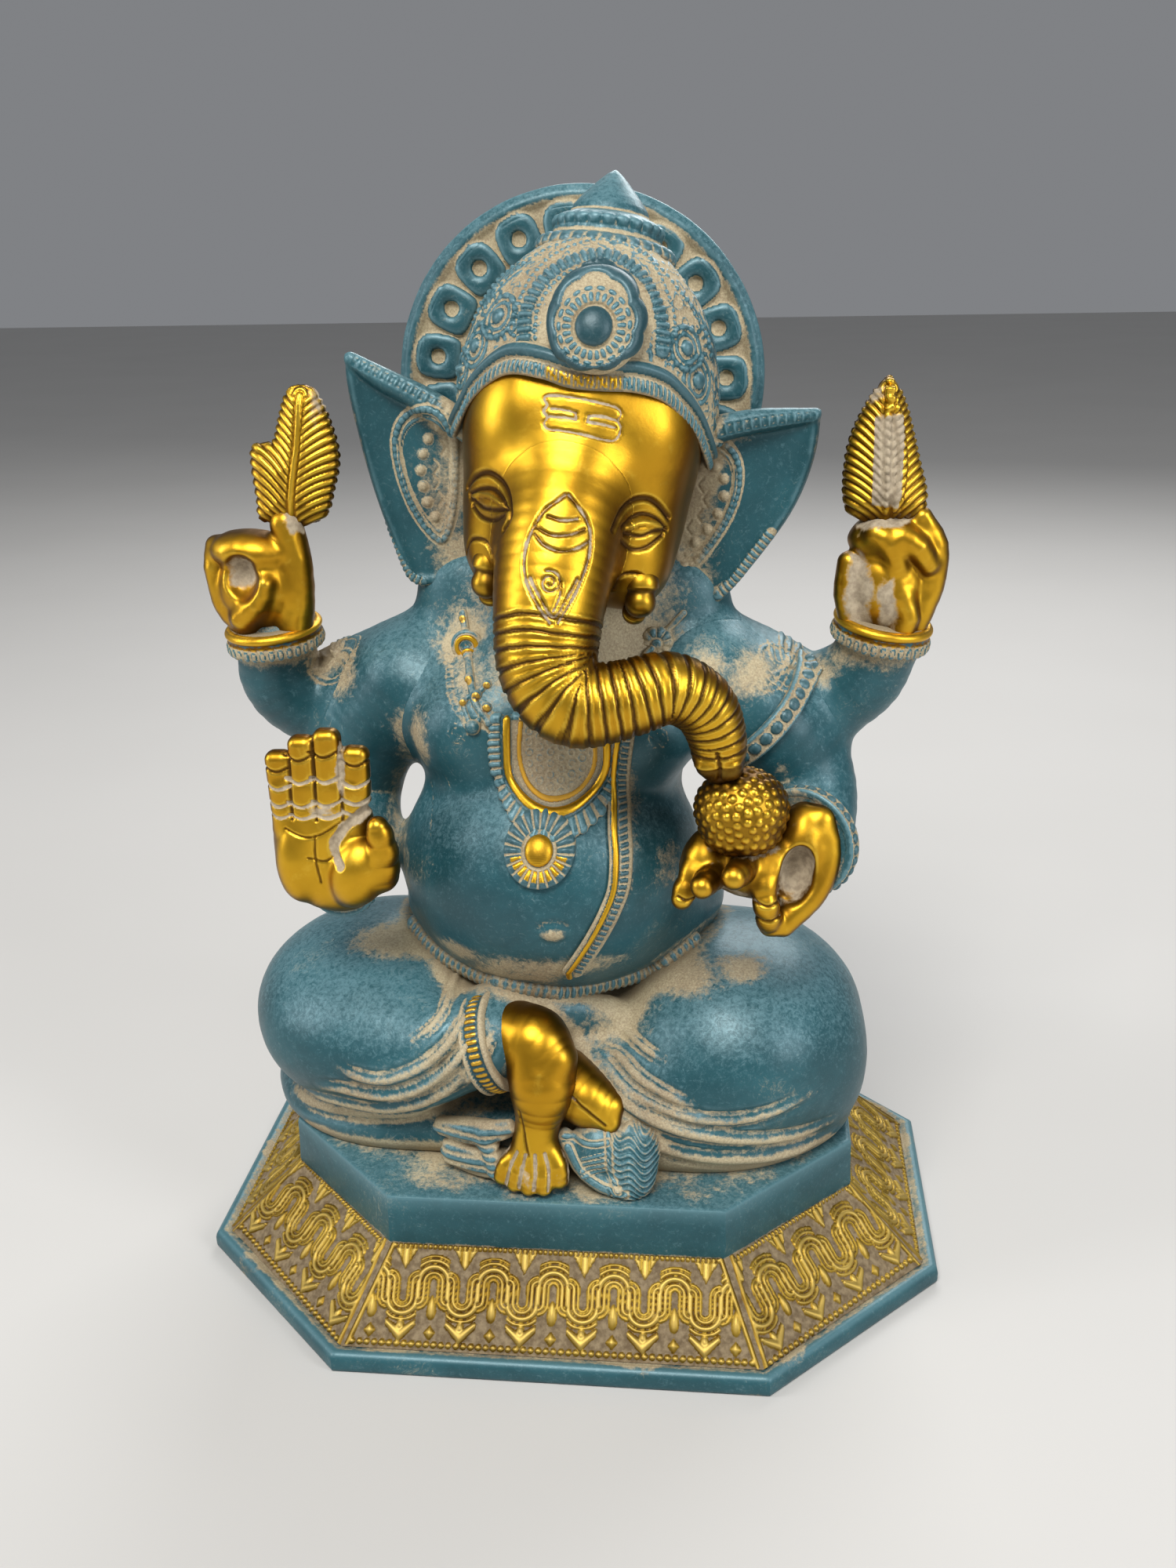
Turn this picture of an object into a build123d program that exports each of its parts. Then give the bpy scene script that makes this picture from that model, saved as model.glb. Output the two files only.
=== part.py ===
from build123d import *
import math
import os

# Seated Ganesha idol in cast brass: separate hollow castings, brazed and screwed together.
# Frame: +Z up, the idol faces -Y, its own right hand is on the -X side, and the origin is the centre of the
# base's underside. All sizes are in millimetres.

# ---------------------------------------------------------------- driving dimensions
BASE_HALF_WIDTH = 100.0
BASE_HALF_DEPTH = 80.8
BASE_CORNER = 45.5  # length that each 45 degree corner takes off a side
RIM_HEIGHT = 5.3
RIM_LEDGE = 3.0
SKIRT_TOP = 22.9
DAIS_HALF_WIDTH = 76.3
DAIS_HALF_DEPTH = 58.6
DAIS_CORNER = 33.3
DAIS_TOP = 37.1
DAIS_FOOT_LIP = 1.6  # how far the skirt's top edge stands out round the dais
BASE_WALL = 4.0
BODY_WALL = 4.5  # thickness of the hollow body castings
FLANGE_WIDTH = 9.0
FLANGE_THICKNESS = 3.0
CHAMFER = 1.0
FOOT_STEP = 1.0  # height of the upright inside edge at the skirt's foot
ROOMY = 400.0  # side of a block larger than the whole idol
CLOSE = 0.01

SCREW_RADIUS = 2.5
SCREW_CLEARANCE = 0.5
SCREW_HEAD_RADIUS = 4.6
SCREW_HEAD_HEIGHT = 3.0
SCREW_SLOT_WIDTH = 1.2
SCREW_SLOT_DEPTH = 1.2
SCREW_REACH = 11.0  # how far a screw goes into its boss
SCREW_PLACES = ((-38.0, -4.0), (32.0, -4.0), (-30.0, 27.0), (26.0, 27.0))
BOSS_RADIUS = 6.5
BOSS_HEIGHT = 15.0

HEAD_CENTRE = (5.0, -12.0, 212.0)
HEAD_ROLL = 8.0  # degrees the head leans to the idol's left
HEAD_YAW = 4.0
CROWN_SHELL = 4.0
FINIAL_FOOT = 48.2  # above the head's centre
FINIAL_BACK = 15.5
FINIAL_LEAN = 12.0
MEDALLION_LEAN = 24.0

HALO_CENTRE = (2.7, 20.0, 231.5)
HALO_RADIUS = 46.5
HALO_RIM_WIDTH = 4.0
HALO_THICKNESS = 4.0
HALO_RIM_THICKNESS = 7.0
HALO_LEAN = -4.0
HALO_ROUNDING = 1.5

EAR_THICKNESS = 5.0
FINGER_RADIUS = 3.3
CORD_RADIUS = 1.7
NECKLACE_RADIUS = 2.6
BELT_RADIUS = 3.1
BAND_WALL = 1.5
ARMLET_RADIUS = 15.8
ARMLET_HALF_HEIGHT = 2.4
ANKLET_RADIUS = 12.6
ANKLET_HALF_HEIGHT = 3.5

# ---------------------------------------------------------------- shape helpers


def octagon(half_width, half_depth, corner, height):
    """An octagonal face with 45 degree corners, at a height."""
    w, d, c = half_width, half_depth, corner
    corners = [(w, d - c), (w - c, d), (c - w, d), (-w, d - c), (-w, c - d), (c - w, -d), (w - c, -d), (w, c - d)]
    return Plane.XY.offset(height) * make_face(Polyline(*corners, close=True))


def inset(size, amount):
    """The same octagon moved in on all eight sides."""
    w, d, c = size
    return (w - amount, d - amount, c - amount * (2 - math.sqrt(2)))


def octagon_block(size, low, high):
    """A straight octagonal block."""
    return extrude(octagon(*size, low), high - low)


def octagon_taper(size_low, low, size_high, high):
    """An octagonal block that changes size on its way up."""
    return loft([octagon(*size_low, low), octagon(*size_high, high)], ruled=True)


def ellipsoid(centre, radii, turn=(0, 0, 0)):
    """A solid ellipsoid, turned about its own centre."""
    return Pos(*centre) * Rot(*turn) * scale(Sphere(1.0), by=radii)


def ball(centre, radius):
    """A solid ball."""
    return Pos(*centre) * Sphere(radius)


def path_planes(points):
    """Planes square to a path at each of its points, without twist from one to the next."""
    places = [Vector(*point) for point in points]
    side = None
    planes = []
    for index, place in enumerate(places):
        before = places[max(index - 1, 0)]
        after = places[min(index + 1, len(places) - 1)]
        along = (after - before).normalized()
        if side is None:
            side = Vector(0, 0, 1).cross(along)
            if side.length < 0.1:
                side = Vector(1, 0, 0)
        side = (side - along * side.dot(along)).normalized()
        planes.append(Plane(origin=place, x_dir=side, z_dir=along))
    return planes


def tube(points, radii):
    """A limb lofted smoothly through round sections."""
    sections = [plane * Circle(radius) for plane, radius in zip(path_planes(points), radii)]
    return loft(sections)


def rod(points, radius):
    """A cord of one thickness along a smooth path."""
    return tube(points, [radius] * len(points))


def ring(centre, axis, radius, thickness, height):
    """A round band about a limb, with edges rounded over its wall; what it wraps is cut away later."""
    plane = Plane(origin=centre, z_dir=axis)
    band = extrude(plane * Circle(radius), height / 2, both=True)
    return fillet(band.edges(), min(thickness, height / 2) * 0.8)


def plate(outline, depth, thickness):
    """A flat plate in the XZ plane with the given outline, its middle at a depth."""
    face = Plane.XZ.offset(-depth) * make_face(Spline(*outline, periodic=True))
    return extrude(face, thickness / 2, both=True)


def fused(shapes):
    """All the shapes as one."""
    whole = shapes[0]
    for shape in shapes[1:]:
        whole = whole + shape
    return whole


def main_solid(shape):
    """The shape without the crumbs that a cut can leave."""
    solids = sorted(shape.solids(), key=lambda solid: solid.volume, reverse=True)
    return solids[0]


def in_head(shape):
    """A shape modelled about the head's centre, put where the head is."""
    return Pos(*HEAD_CENTRE) * Rot(0, HEAD_ROLL, 0) * Rot(0, 0, HEAD_YAW) * shape


def front_of(solids, x, z):
    """The y of the foremost surface of some upright ellipsoids at a place seen from the front."""
    foremost = None
    for (cx, cy, cz), (rx, ry, rz) in solids:
        inside = 1 - ((x - cx) / rx) ** 2 - ((z - cz) / rz) ** 2
        if inside > 0:
            y = cy - ry * math.sqrt(inside)
            foremost = y if foremost is None else min(foremost, y)
    return foremost


def shrunk(solids, wall):
    """Upright ellipsoids made smaller by a wall all round."""
    return [(centre, tuple(radius - wall for radius in radii)) for centre, radii in solids]


def ellipsoids(solids):
    """Upright ellipsoids fused."""
    return fused([ellipsoid(centre, radii) for centre, radii in solids])


# ---------------------------------------------------------------- assembly bookkeeping

PARTS = {}
ENVELOPES = []


def apart(first, second):
    """Whether two shapes' bounding boxes are clear of each other."""
    a = first.bounding_box()
    b = second.bounding_box()
    if a.max.X < b.min.X or b.max.X < a.min.X:
        return True
    if a.max.Y < b.min.Y or b.max.Y < a.min.Y:
        return True
    return a.max.Z < b.min.Z or b.max.Z < a.min.Z


def place(name, raw, hollow=None, envelope=None):
    """Fit a casting face to face against all those placed before it, and hollow it."""
    shape = raw
    for other in ENVELOPES:
        if not apart(shape, other):
            shape = shape - other
    if hollow is not None:
        shape = shape - hollow
    PARTS[name] = main_solid(shape)
    ENVELOPES.append(raw if envelope is None else envelope)


# ---------------------------------------------------------------- base

BASE = (BASE_HALF_WIDTH, BASE_HALF_DEPTH, BASE_CORNER)
DAIS = (DAIS_HALF_WIDTH, DAIS_HALF_DEPTH, DAIS_CORNER)
SLOPE_TOP = inset(DAIS, -DAIS_FOOT_LIP)


def make_skirt():
    """The sloped base: vertical rim, ledge, ornate slope, and an inner flange for the dais."""
    outer = fused([
        octagon_block(BASE, 0, RIM_HEIGHT),
        octagon_taper(inset(BASE, RIM_LEDGE), RIM_HEIGHT, SLOPE_TOP, SKIRT_TOP),
    ])
    rim_edges = outer.edges().filter_by(Plane.XY).filter_by(lambda edge: abs(edge.center().Z - RIM_HEIGHT) < CLOSE)
    outer_rim = [edge for edge in rim_edges if edge.distance_to(octagon(*BASE, RIM_HEIGHT).wire()) < CLOSE]
    outer = chamfer(outer_rim, CHAMFER)
    inner_low = inset(BASE, BASE_WALL)
    inner_high = inset(SLOPE_TOP, BASE_WALL)
    flange_low = SKIRT_TOP - FLANGE_THICKNESS
    hollow = fused([
        octagon_block(inner_low, 0, FOOT_STEP),
        octagon_taper(inner_low, FOOT_STEP, inner_high, flange_low),
        octagon_block(inset(DAIS, FLANGE_WIDTH), flange_low, SKIRT_TOP),
    ])
    return outer - hollow


def make_dais_wall():
    """The dais's upright wall, an open octagonal frame."""
    return octagon_block(DAIS, SKIRT_TOP, DAIS_TOP - BASE_WALL) - octagon_block(
        inset(DAIS, BASE_WALL), SKIRT_TOP, DAIS_TOP - BASE_WALL
    )


def make_dais_plate():
    """The dais's top plate, bevelled round its upper edge, with clearance holes for the screws."""
    outer = octagon_block(DAIS, DAIS_TOP - BASE_WALL, DAIS_TOP)
    outer = chamfer(outer.faces().sort_by(Axis.Z)[-1].edges(), CHAMFER)
    holes = [
        Pos(x, y, DAIS_TOP) * Cylinder(SCREW_RADIUS + SCREW_CLEARANCE, 3 * BASE_WALL) for x, y in SCREW_PLACES
    ]
    return outer - fused(holes)


def make_screws():
    """Screws from below through the dais into the bosses of the legs."""
    top = DAIS_TOP + SCREW_REACH
    under = DAIS_TOP - BASE_WALL
    shank = Cylinder(SCREW_RADIUS, top - under, align=(Align.CENTER, Align.CENTER, Align.MIN))
    head = Cylinder(SCREW_HEAD_RADIUS, SCREW_HEAD_HEIGHT, align=(Align.CENTER, Align.CENTER, Align.MAX))
    slot = Box(2 * SCREW_HEAD_RADIUS, SCREW_SLOT_WIDTH, 2 * SCREW_SLOT_DEPTH)
    screw = shank + head - Pos(0, 0, -SCREW_HEAD_HEIGHT) * slot
    return [Pos(x, y, under) * screw for x, y in SCREW_PLACES]


PARTS["base_skirt"] = main_solid(make_skirt())
PARTS["dais_wall"] = main_solid(make_dais_wall())
PARTS["dais_plate"] = main_solid(make_dais_plate())
PARTS["seat_screws"] = Compound(children=[main_solid(screw) for screw in make_screws()])
ENVELOPES.append(octagon_block(DAIS, SKIRT_TOP, DAIS_TOP))

# ---------------------------------------------------------------- body

LEGS = [
    ((-50.0, -9.0, 68.0), (37.5, 39.0, 24.5)),
    ((44.5, -8.0, 64.5), (34.5, 40.0, 27.5)),
    ((-3.0, 14.0, 62.0), (58.0, 36.0, 30.0)),
    ((-46.0, -2.0, 42.0), (40.0, 38.0, 17.0)),
    ((36.0, -4.0, 42.0), (42.0, 40.0, 17.0)),
]
RIGHT_SHIN = [(-62.0, -24.0, 66.0), (-42.0, -36.0, 67.0), (-26.0, -41.0, 72.0), (-17.0, -42.0, 74.0)]
RIGHT_SHIN_RADII = [17.0, 16.0, 12.5, 10.5]
LEFT_SHIN = [(60.0, -18.0, 56.0), (40.0, -29.0, 56.0), (22.0, -34.0, 57.0), (6.0, -33.0, 59.0)]
LEFT_SHIN_RADII = [19.0, 18.0, 16.0, 13.0]
TORSO = [
    ((-4.5, -9.0, 112.0), (39.5, 39.0, 34.0)),
    ((-4.0, -2.0, 150.0), (38.0, 27.0, 25.0)),
    ((-4.0, 6.0, 159.0), (52.0, 19.0, 16.0)),
]
BREASTS = [
    ((-23.0, -18.0, 151.0), (13.0, 13.0, 12.0)),
    ((20.0, -18.0, 151.0), (13.0, 13.0, 12.0)),
]
CHEST = TORSO + BREASTS

ABOVE_DAIS = Pos(0, 0, DAIS_TOP) * Box(ROOMY, ROOMY, ROOMY, align=(Align.CENTER, Align.CENTER, Align.MIN))


def make_legs():
    """The crossed legs in their draped cloth, open underneath, with four bosses rising inside."""
    outer = ellipsoids(LEGS) + tube(RIGHT_SHIN, RIGHT_SHIN_RADII) + tube(LEFT_SHIN, LEFT_SHIN_RADII)
    outer = outer & ABOVE_DAIS
    cavity = ellipsoids(shrunk(LEGS, BODY_WALL)) & ABOVE_DAIS
    posts = []
    for x, y in SCREW_PLACES:
        post = Cylinder(BOSS_RADIUS, BOSS_HEIGHT, align=(Align.CENTER, Align.CENTER, Align.MIN))
        posts.append(Pos(x, y, DAIS_TOP) * post)
    holes = []
    for x, y in SCREW_PLACES:
        depth = Cylinder(SCREW_RADIUS, SCREW_REACH, align=(Align.CENTER, Align.CENTER, Align.MIN))
        holes.append(Pos(x, y, DAIS_TOP) * depth)
    return outer, (cavity - fused(posts)) + fused(holes)


legs_outer, legs_cavity = make_legs()
place("crossed_legs", legs_outer, hollow=legs_cavity)
torso_outer = ellipsoids(CHEST) + tube([(-3.0, 2.0, 160.0), (-1.0, 0.0, 172.0), (2.0, -3.0, 184.0)], [20, 19, 18])
place("torso", torso_outer, hollow=ellipsoids(shrunk(TORSO, BODY_WALL)))

# ---------------------------------------------------------------- head and trunk

SKULL = [
    ((0.0, 2.0, 6.0), (28.0, 23.0, 26.0)),
    ((0.0, -3.0, -8.0), (25.5, 20.0, 22.0)),
    ((0.0, -11.0, 10.0), (20.0, 15.0, 18.0)),
]
head_outer = in_head(ellipsoids(SKULL))
place("head", head_outer, hollow=in_head(ellipsoids(shrunk(SKULL[:2], BODY_WALL))))

TRUNK = [
    (5.0, -24.0, 215.0),
    (2.5, -36.0, 202.0),
    (1.2, -46.0, 186.0),
    (2.0, -51.0, 174.0),
    (9.0, -53.5, 167.5),
    (19.0, -51.5, 169.0),
    (28.0, -48.0, 170.5),
    (35.5, -44.5, 166.0),
    (39.0, -42.5, 158.5),
    (40.0, -41.5, 151.0),
]
TRUNK_RADII = [16.0, 14.5, 12.0, 10.5, 9.5, 8.6, 8.0, 7.5, 6.8, 6.0]
place("trunk", tube(TRUNK, TRUNK_RADII))


def make_tusk(side):
    """A short blunt tusk beside the trunk."""
    root = (side * 16.5, -13.0, -17.0)
    tip = (side * 18.0, -20.5, -24.0)
    return in_head(tube([root, tip], [5.6, 4.0]) + ball(tip, 4.0))


place("right_tusk", make_tusk(-1))
place("left_tusk", make_tusk(1))

RIGHT_EAR = [
    (-23.0, 226.0), (-34.2, 230.8), (-44.0, 236.0), (-52.3, 240.5), (-53.0, 231.0), (-50.7, 219.0),
    (-47.8, 207.0), (-44.0, 195.0), (-40.0, 184.0), (-32.5, 182.0), (-24.0, 186.0), (-19.0, 205.0),
]
LEFT_EAR = [
    (33.0, 223.0), (42.0, 224.3), (52.0, 225.3), (61.8, 225.8), (61.2, 215.0), (57.0, 203.0),
    (49.8, 192.0), (41.5, 181.5), (35.0, 176.5), (28.0, 186.0), (25.0, 203.0), (27.0, 216.0),
]
place("right_ear", plate(RIGHT_EAR, 0.0, EAR_THICKNESS))
place("left_ear", plate(LEFT_EAR, 0.0, EAR_THICKNESS))

# ---------------------------------------------------------------- crown and halo

DOME_CENTRE = (0.0, 6.0, 16.0)
DOME_RADII = (31.0, 28.0, 39.0)
RIM_TILT = 16.0  # degrees the crown's lower edge rises to the front
BAND_BELOW = 6.0
BAND_TOP = 13.0


def above_rim(height):
    """Everything in the head's frame above the tilted plane of the crown's lower edge."""
    block = Box(ROOMY, ROOMY, ROOMY, align=(Align.CENTER, Align.CENTER, Align.MIN))
    return Pos(0, 0, height) * Rot(-RIM_TILT, 0, 0) * block


dome = ellipsoid(DOME_CENTRE, DOME_RADII)
swollen = ellipsoid(DOME_CENTRE, tuple(radius + 1.6 for radius in DOME_RADII))
band_raw = (swollen & above_rim(BAND_BELOW)) - above_rim(BAND_TOP)
crown_raw = dome & above_rim(BAND_TOP)
place("crown_band", in_head(band_raw))
under_crown = ellipsoid(DOME_CENTRE, tuple(radius - CROWN_SHELL for radius in DOME_RADII))
place("crown", in_head(crown_raw), hollow=in_head(under_crown))
medallion = ellipsoid((0.0, -20.0, 36.0), (9.5, 5.0, 13.0), (-MEDALLION_LEAN, 0, 0))
place("crown_medallion", in_head(medallion))
finial = revolve(
    make_face(Polyline(
        (0, 0), (15.0, 0), (16.0, 2.5), (13.0, 4.5), (12.5, 7.0), (9.0, 9.0), (8.0, 11.5), (6.0, 14.0), (0, 21.0),
        close=True,
    )),
    Axis.Y,
)
finial = Pos(0.0, FINIAL_BACK, FINIAL_FOOT) * Rot(-FINIAL_LEAN, 0, 0) * Rot(90, 0, 0) * finial
place("crown_finial", in_head(finial))

halo_plane = Plane(origin=HALO_CENTRE, x_dir=(1, 0, 0), z_dir=(0, -1, 0)).rotated((HALO_LEAN, 0, 0))
halo = extrude(halo_plane * Circle(HALO_RADIUS), HALO_RIM_THICKNESS / 2, both=True)
halo = fillet(halo.edges(), HALO_ROUNDING)
recess_depth = (HALO_RIM_THICKNESS - HALO_THICKNESS) / 2
for face_side in (-1, 1):
    recess_plane = halo_plane.offset(face_side * (HALO_THICKNESS / 2 + recess_depth))
    halo = halo - extrude(recess_plane * Circle(HALO_RADIUS - HALO_RIM_WIDTH), recess_depth, both=True)
place("halo", halo)

# ---------------------------------------------------------------- arms

ARMS = {
    "rear_right_arm": ([(-34, 9, 160), (-54, 9, 154), (-69, 6, 150), (-77, 2, 157), (-77, -1, 168)],
                       [15.0, 13.5, 12.3, 11.0, 9.8]),
    "rear_left_arm": ([(28, 9, 162), (46, 9, 157), (61.5, 6, 151.5), (74, 2, 158), (79.6, -1, 169)],
                      [15.0, 13.5, 12.3, 11.0, 9.8]),
    "front_right_arm": ([(-42, -2, 157), (-53, -1, 142), (-58, 0, 127), (-56.5, -12, 116), (-55, -33, 114)],
                        [14.5, 12.5, 11.5, 10.5, 7.6]),
    "front_left_arm": ([(37, -3, 158), (51, -4, 148), (59.5, -3, 136), (62, -11, 125), (59, -27, 122)],
                       [15.0, 15.0, 14.0, 12.5, 9.5]),
}
for name, (points, radii) in ARMS.items():
    place(name, tube(points, radii))

CUFFS = {
    "rear_right_cuff": ((-77.0, -1.5, 169.8), (-0.06, -0.1, 1.0), 12.2, 6.6),
    "rear_left_cuff": ((79.4, -1.5, 172.2), (0.16, -0.1, 1.0), 12.0, 6.6),
    "front_right_bracelet": ((-55.2, -33.0, 114.0), (0.0, -1.0, 0.10), 9.0, 4.4),
    "front_left_bracelet": ((60.6, -31.0, 126.5), (-0.5, -1.0, 0.1), 13.4, 4.0),
}
for name, (centre, axis, radius, height) in CUFFS.items():
    place(name, ring(centre, axis, radius, BAND_WALL, height))
armlet_plane = Plane(origin=(47.0, -1.5, 152.5), z_dir=(0.62, 0.05, -0.5))
place("left_armlet", extrude(armlet_plane * Circle(ARMLET_RADIUS), ARMLET_HALF_HEIGHT, both=True))

# ---------------------------------------------------------------- hands and what they hold


def finger(base, tip, radius=FINGER_RADIUS):
    """A straight finger with a round end."""
    return tube([base, tip], [radius, radius * 0.9]) + ball(tip, radius * 0.9)


blessing = fused([
    ellipsoid((-55.0, -41.0, 122.0), (14.5, 6.5, 15.0)),
    finger((-66.0, -41.0, 130.0), (-67.0, -39.0, 149.0)),
    finger((-59.5, -41.0, 132.0), (-60.5, -39.0, 155.5), FINGER_RADIUS + 0.1),
    finger((-53.0, -41.0, 132.0), (-53.2, -39.0, 157.0), FINGER_RADIUS + 0.2),
    finger((-46.5, -41.0, 130.0), (-45.8, -40.0, 149.0)),
    finger((-45.0, -42.0, 121.0), (-41.0, -44.0, 133.5), 4.0),
])
place("blessing_hand", blessing)
place("sweet_ball", ellipsoid((45.5, -38.0, 135.5), (11.5, 11.0, 10.0)))
offering = fused([
    ellipsoid((49.0, -36.0, 121.0), (13.0, 10.0, 9.0)),
    finger((51.0, -40.0, 120.0), (45.0, -50.5, 118.0), 3.6),
    finger((44.0, -38.0, 121.0), (38.5, -49.5, 120.0), 3.6),
    finger((42.0, -36.0, 116.0), (31.5, -44.0, 110.5), 3.4),
    finger((56.0, -38.0, 119.0), (55.5, -42.0, 105.5), 4.4),
    finger((59.0, -34.0, 122.0), (60.0, -40.0, 134.0), 4.0),
])
place("offering_hand", offering)
place("rear_right_hand", fused([
    ellipsoid((-78.5, -4.0, 181.5), (11.0, 9.5, 12.5)),
    ellipsoid((-80.0, -6.0, 192.5), (10.5, 8.5, 7.0), (0, -18, 0)),
]))
place("rear_left_hand", fused([
    ellipsoid((81.5, -4.0, 184.5), (12.0, 9.5, 14.5)),
    ellipsoid((80.0, -6.0, 196.0), (9.0, 8.0, 8.0)),
]))
leaf = ellipsoid((-67.0, -5.0, 214.0), (8.5, 4.5, 20.5), (0, 22, 0)) + ellipsoid((-71.5, -4.0, 201.0), (9.0, 5.5, 8.0))
place("right_hand_leaf", leaf)
place("left_hand_bud", fused([
    ellipsoid((77.5, -5.0, 214.0), (9.0, 6.5, 13.0)),
    tube([(77.5, -5.0, 214.0), (77.5, -4.5, 224.0), (77.8, -4.0, 233.0)], [8.5, 5.5, 1.2]),
]))

# ---------------------------------------------------------------- feet, anklet, mouse, cloth

anklet_plane = Plane(origin=(-16.0, -42.2, 74.5), z_dir=(1.0, -0.12, 0.25))
place("anklet", extrude(anklet_plane * Circle(ANKLET_RADIUS), ANKLET_HALF_HEIGHT, both=True))
right_foot = fused([
    tube([(-10.0, -42.5, 75.5), (-4.5, -45.5, 73.5), (-3.5, -48.0, 66.0), (-4.0, -50.5, 54.0), (-5.0, -51.5, 45.0)],
         [9.6, 9.5, 9.0, 6.5, 6.5]),
    ellipsoid((-5.5, -52.0, 41.5), (8.0, 5.0, 5.0)),
])
place("right_foot", right_foot & ABOVE_DAIS)
heel = (14.0, -47.0, 57.0)
place("left_foot", tube([(2.0, -40.0, 60.0), (9.0, -44.5, 59.0), heel], [9.5, 8.0, 5.0]) + ball(heel, 5.0))
mouse = fused([
    ellipsoid((15.0, -48.0, 45.0), (9.0, 8.0, 10.5), (20, 0, 0)),
    ellipsoid((20.0, -49.5, 41.0), (6.5, 7.0, 6.0)),
    ellipsoid((19.0, -41.0, 41.0), (11.0, 9.0, 7.0)),
])
place("mouse", mouse & ABOVE_DAIS)
cloth = fused([ellipsoid((-19.0, -46.0, 42.0), (11.0, 6.0, 9.0)), ellipsoid((-15.5, -49.5, 38.5), (4.5, 3.5, 3.5))])
place("cloth_end", cloth & ABOVE_DAIS)

# ---------------------------------------------------------------- applied trim


def on_chest(path):
    """Points given as x and z, dropped back on to the front of the torso."""
    return [(x, front_of(CHEST, x, z), z) for x, z in path]


NECKLACE_HALF = 21.0
NECKLACE_LOW = 137.5
NECKLACE_RISE = 23.0
NECKLACE_STEPS = 12
necklace_path = []
for step in range(NECKLACE_STEPS + 1):
    share = 2.0 * step / NECKLACE_STEPS - 1.0
    necklace_path.append((-2.0 + NECKLACE_HALF * share, NECKLACE_LOW + NECKLACE_RISE * abs(share) ** 2.6))
place("necklace", rod(on_chest(necklace_path), NECKLACE_RADIUS))
pendant_middle = on_chest([(-2.4, 130.0)])[0]
place("pendant", ring(pendant_middle, (0.0, -1.0, 0.15), 6.5, 2.0, 6.0))
THREAD = [(19.5, 158.0), (20.0, 146.0), (19.5, 134.0), (18.5, 122.0), (16.0, 110.0), (11.0, 100.0), (6.0, 94.0)]
place("sacred_thread", rod(on_chest(THREAD), CORD_RADIUS))


def belt_path():
    """The belt's run under the belly, where it presses into the lap."""
    points = []
    for degrees in range(200, 345, 16):
        angle = math.radians(degrees)
        x = -4.0 + 33.0 * math.cos(angle)
        y = -9.0 + 33.0 * math.sin(angle)
        points.append((x, y, 93.5 + 6.0 * abs(math.cos(angle)) ** 2))
    return points


place("waist_belt", rod(belt_path(), BELT_RADIUS))

# ---------------------------------------------------------------- write the parts

os.makedirs("parts", exist_ok=True)
for name, shape in PARTS.items():
    shape.label = name
    export_step(shape, f"parts/{name}.step")
    print(f"{name:22s} {shape.volume / 1000:8.2f} cm3")
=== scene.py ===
import math
import bpy
import numpy as np
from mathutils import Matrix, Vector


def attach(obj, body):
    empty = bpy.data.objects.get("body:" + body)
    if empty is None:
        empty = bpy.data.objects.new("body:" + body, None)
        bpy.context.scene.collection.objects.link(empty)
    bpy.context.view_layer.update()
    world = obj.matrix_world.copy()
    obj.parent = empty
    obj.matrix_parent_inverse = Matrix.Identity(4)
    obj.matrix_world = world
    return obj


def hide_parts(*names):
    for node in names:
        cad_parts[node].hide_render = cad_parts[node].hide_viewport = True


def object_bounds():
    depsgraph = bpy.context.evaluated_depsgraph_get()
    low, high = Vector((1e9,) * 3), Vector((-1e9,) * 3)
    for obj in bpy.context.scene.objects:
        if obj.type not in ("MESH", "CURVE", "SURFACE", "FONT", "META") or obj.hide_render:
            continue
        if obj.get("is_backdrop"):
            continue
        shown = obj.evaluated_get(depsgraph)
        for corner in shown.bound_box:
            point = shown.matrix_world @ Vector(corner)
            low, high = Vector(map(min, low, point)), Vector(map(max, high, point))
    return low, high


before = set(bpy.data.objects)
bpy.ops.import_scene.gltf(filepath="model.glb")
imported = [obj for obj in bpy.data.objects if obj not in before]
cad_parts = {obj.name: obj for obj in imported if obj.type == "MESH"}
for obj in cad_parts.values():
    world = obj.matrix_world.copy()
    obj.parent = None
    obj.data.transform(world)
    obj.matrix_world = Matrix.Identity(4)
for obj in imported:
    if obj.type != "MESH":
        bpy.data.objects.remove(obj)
import openvdb
from mathutils import Matrix, Vector

CAD_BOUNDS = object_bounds()
MM = 0.001
PI = math.pi
FINE = 1.0
HALF_WIDTH, HALF_DEPTH = 100.0, 80.8  # the base over its rim
SKIRT_TOP = 22.9
DAIS_TOP = 37.1
SEAT = 37.2  # feet, mouse and cloth are cut off level here


# ============================== fields

# Every sculpted piece is a distance field in millimetres, in the frame's own axes, meshed as one closed skin.


def floats(value):
    return np.asarray(value, dtype=np.float32)


def euler(rx, ry, rz):
    """Turns about x, y and z in degrees, as one matrix."""
    turns = [math.radians(a) for a in (rx, ry, rz)]
    cx, cy, cz = (math.cos(a) for a in turns)
    sx, sy, sz = (math.sin(a) for a in turns)
    mx = np.array([[1, 0, 0], [0, cx, -sx], [0, sx, cx]])
    my = np.array([[cy, 0, sy], [0, 1, 0], [-sy, 0, cy]])
    mz = np.array([[cz, -sz, 0], [sz, cz, 0], [0, 0, 1]])
    return mx @ my @ mz


class Field:
    """A distance function and the box round its surface."""

    def __init__(self, f, lo, hi):
        self.f, self.lo, self.hi = f, floats(lo), floats(hi)

    def __call__(self, p):
        return self.f(p)


def smin(a, b, k):
    """The smaller of two distances, blended over k."""
    if k <= 0:
        return np.minimum(a, b)
    h = np.clip(0.5 + 0.5 * (b - a) / k, 0, 1)
    return b * (1 - h) + a * h - k * h * (1 - h)


def smax(a, b, k):
    return -smin(-a, -b, k)


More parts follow.
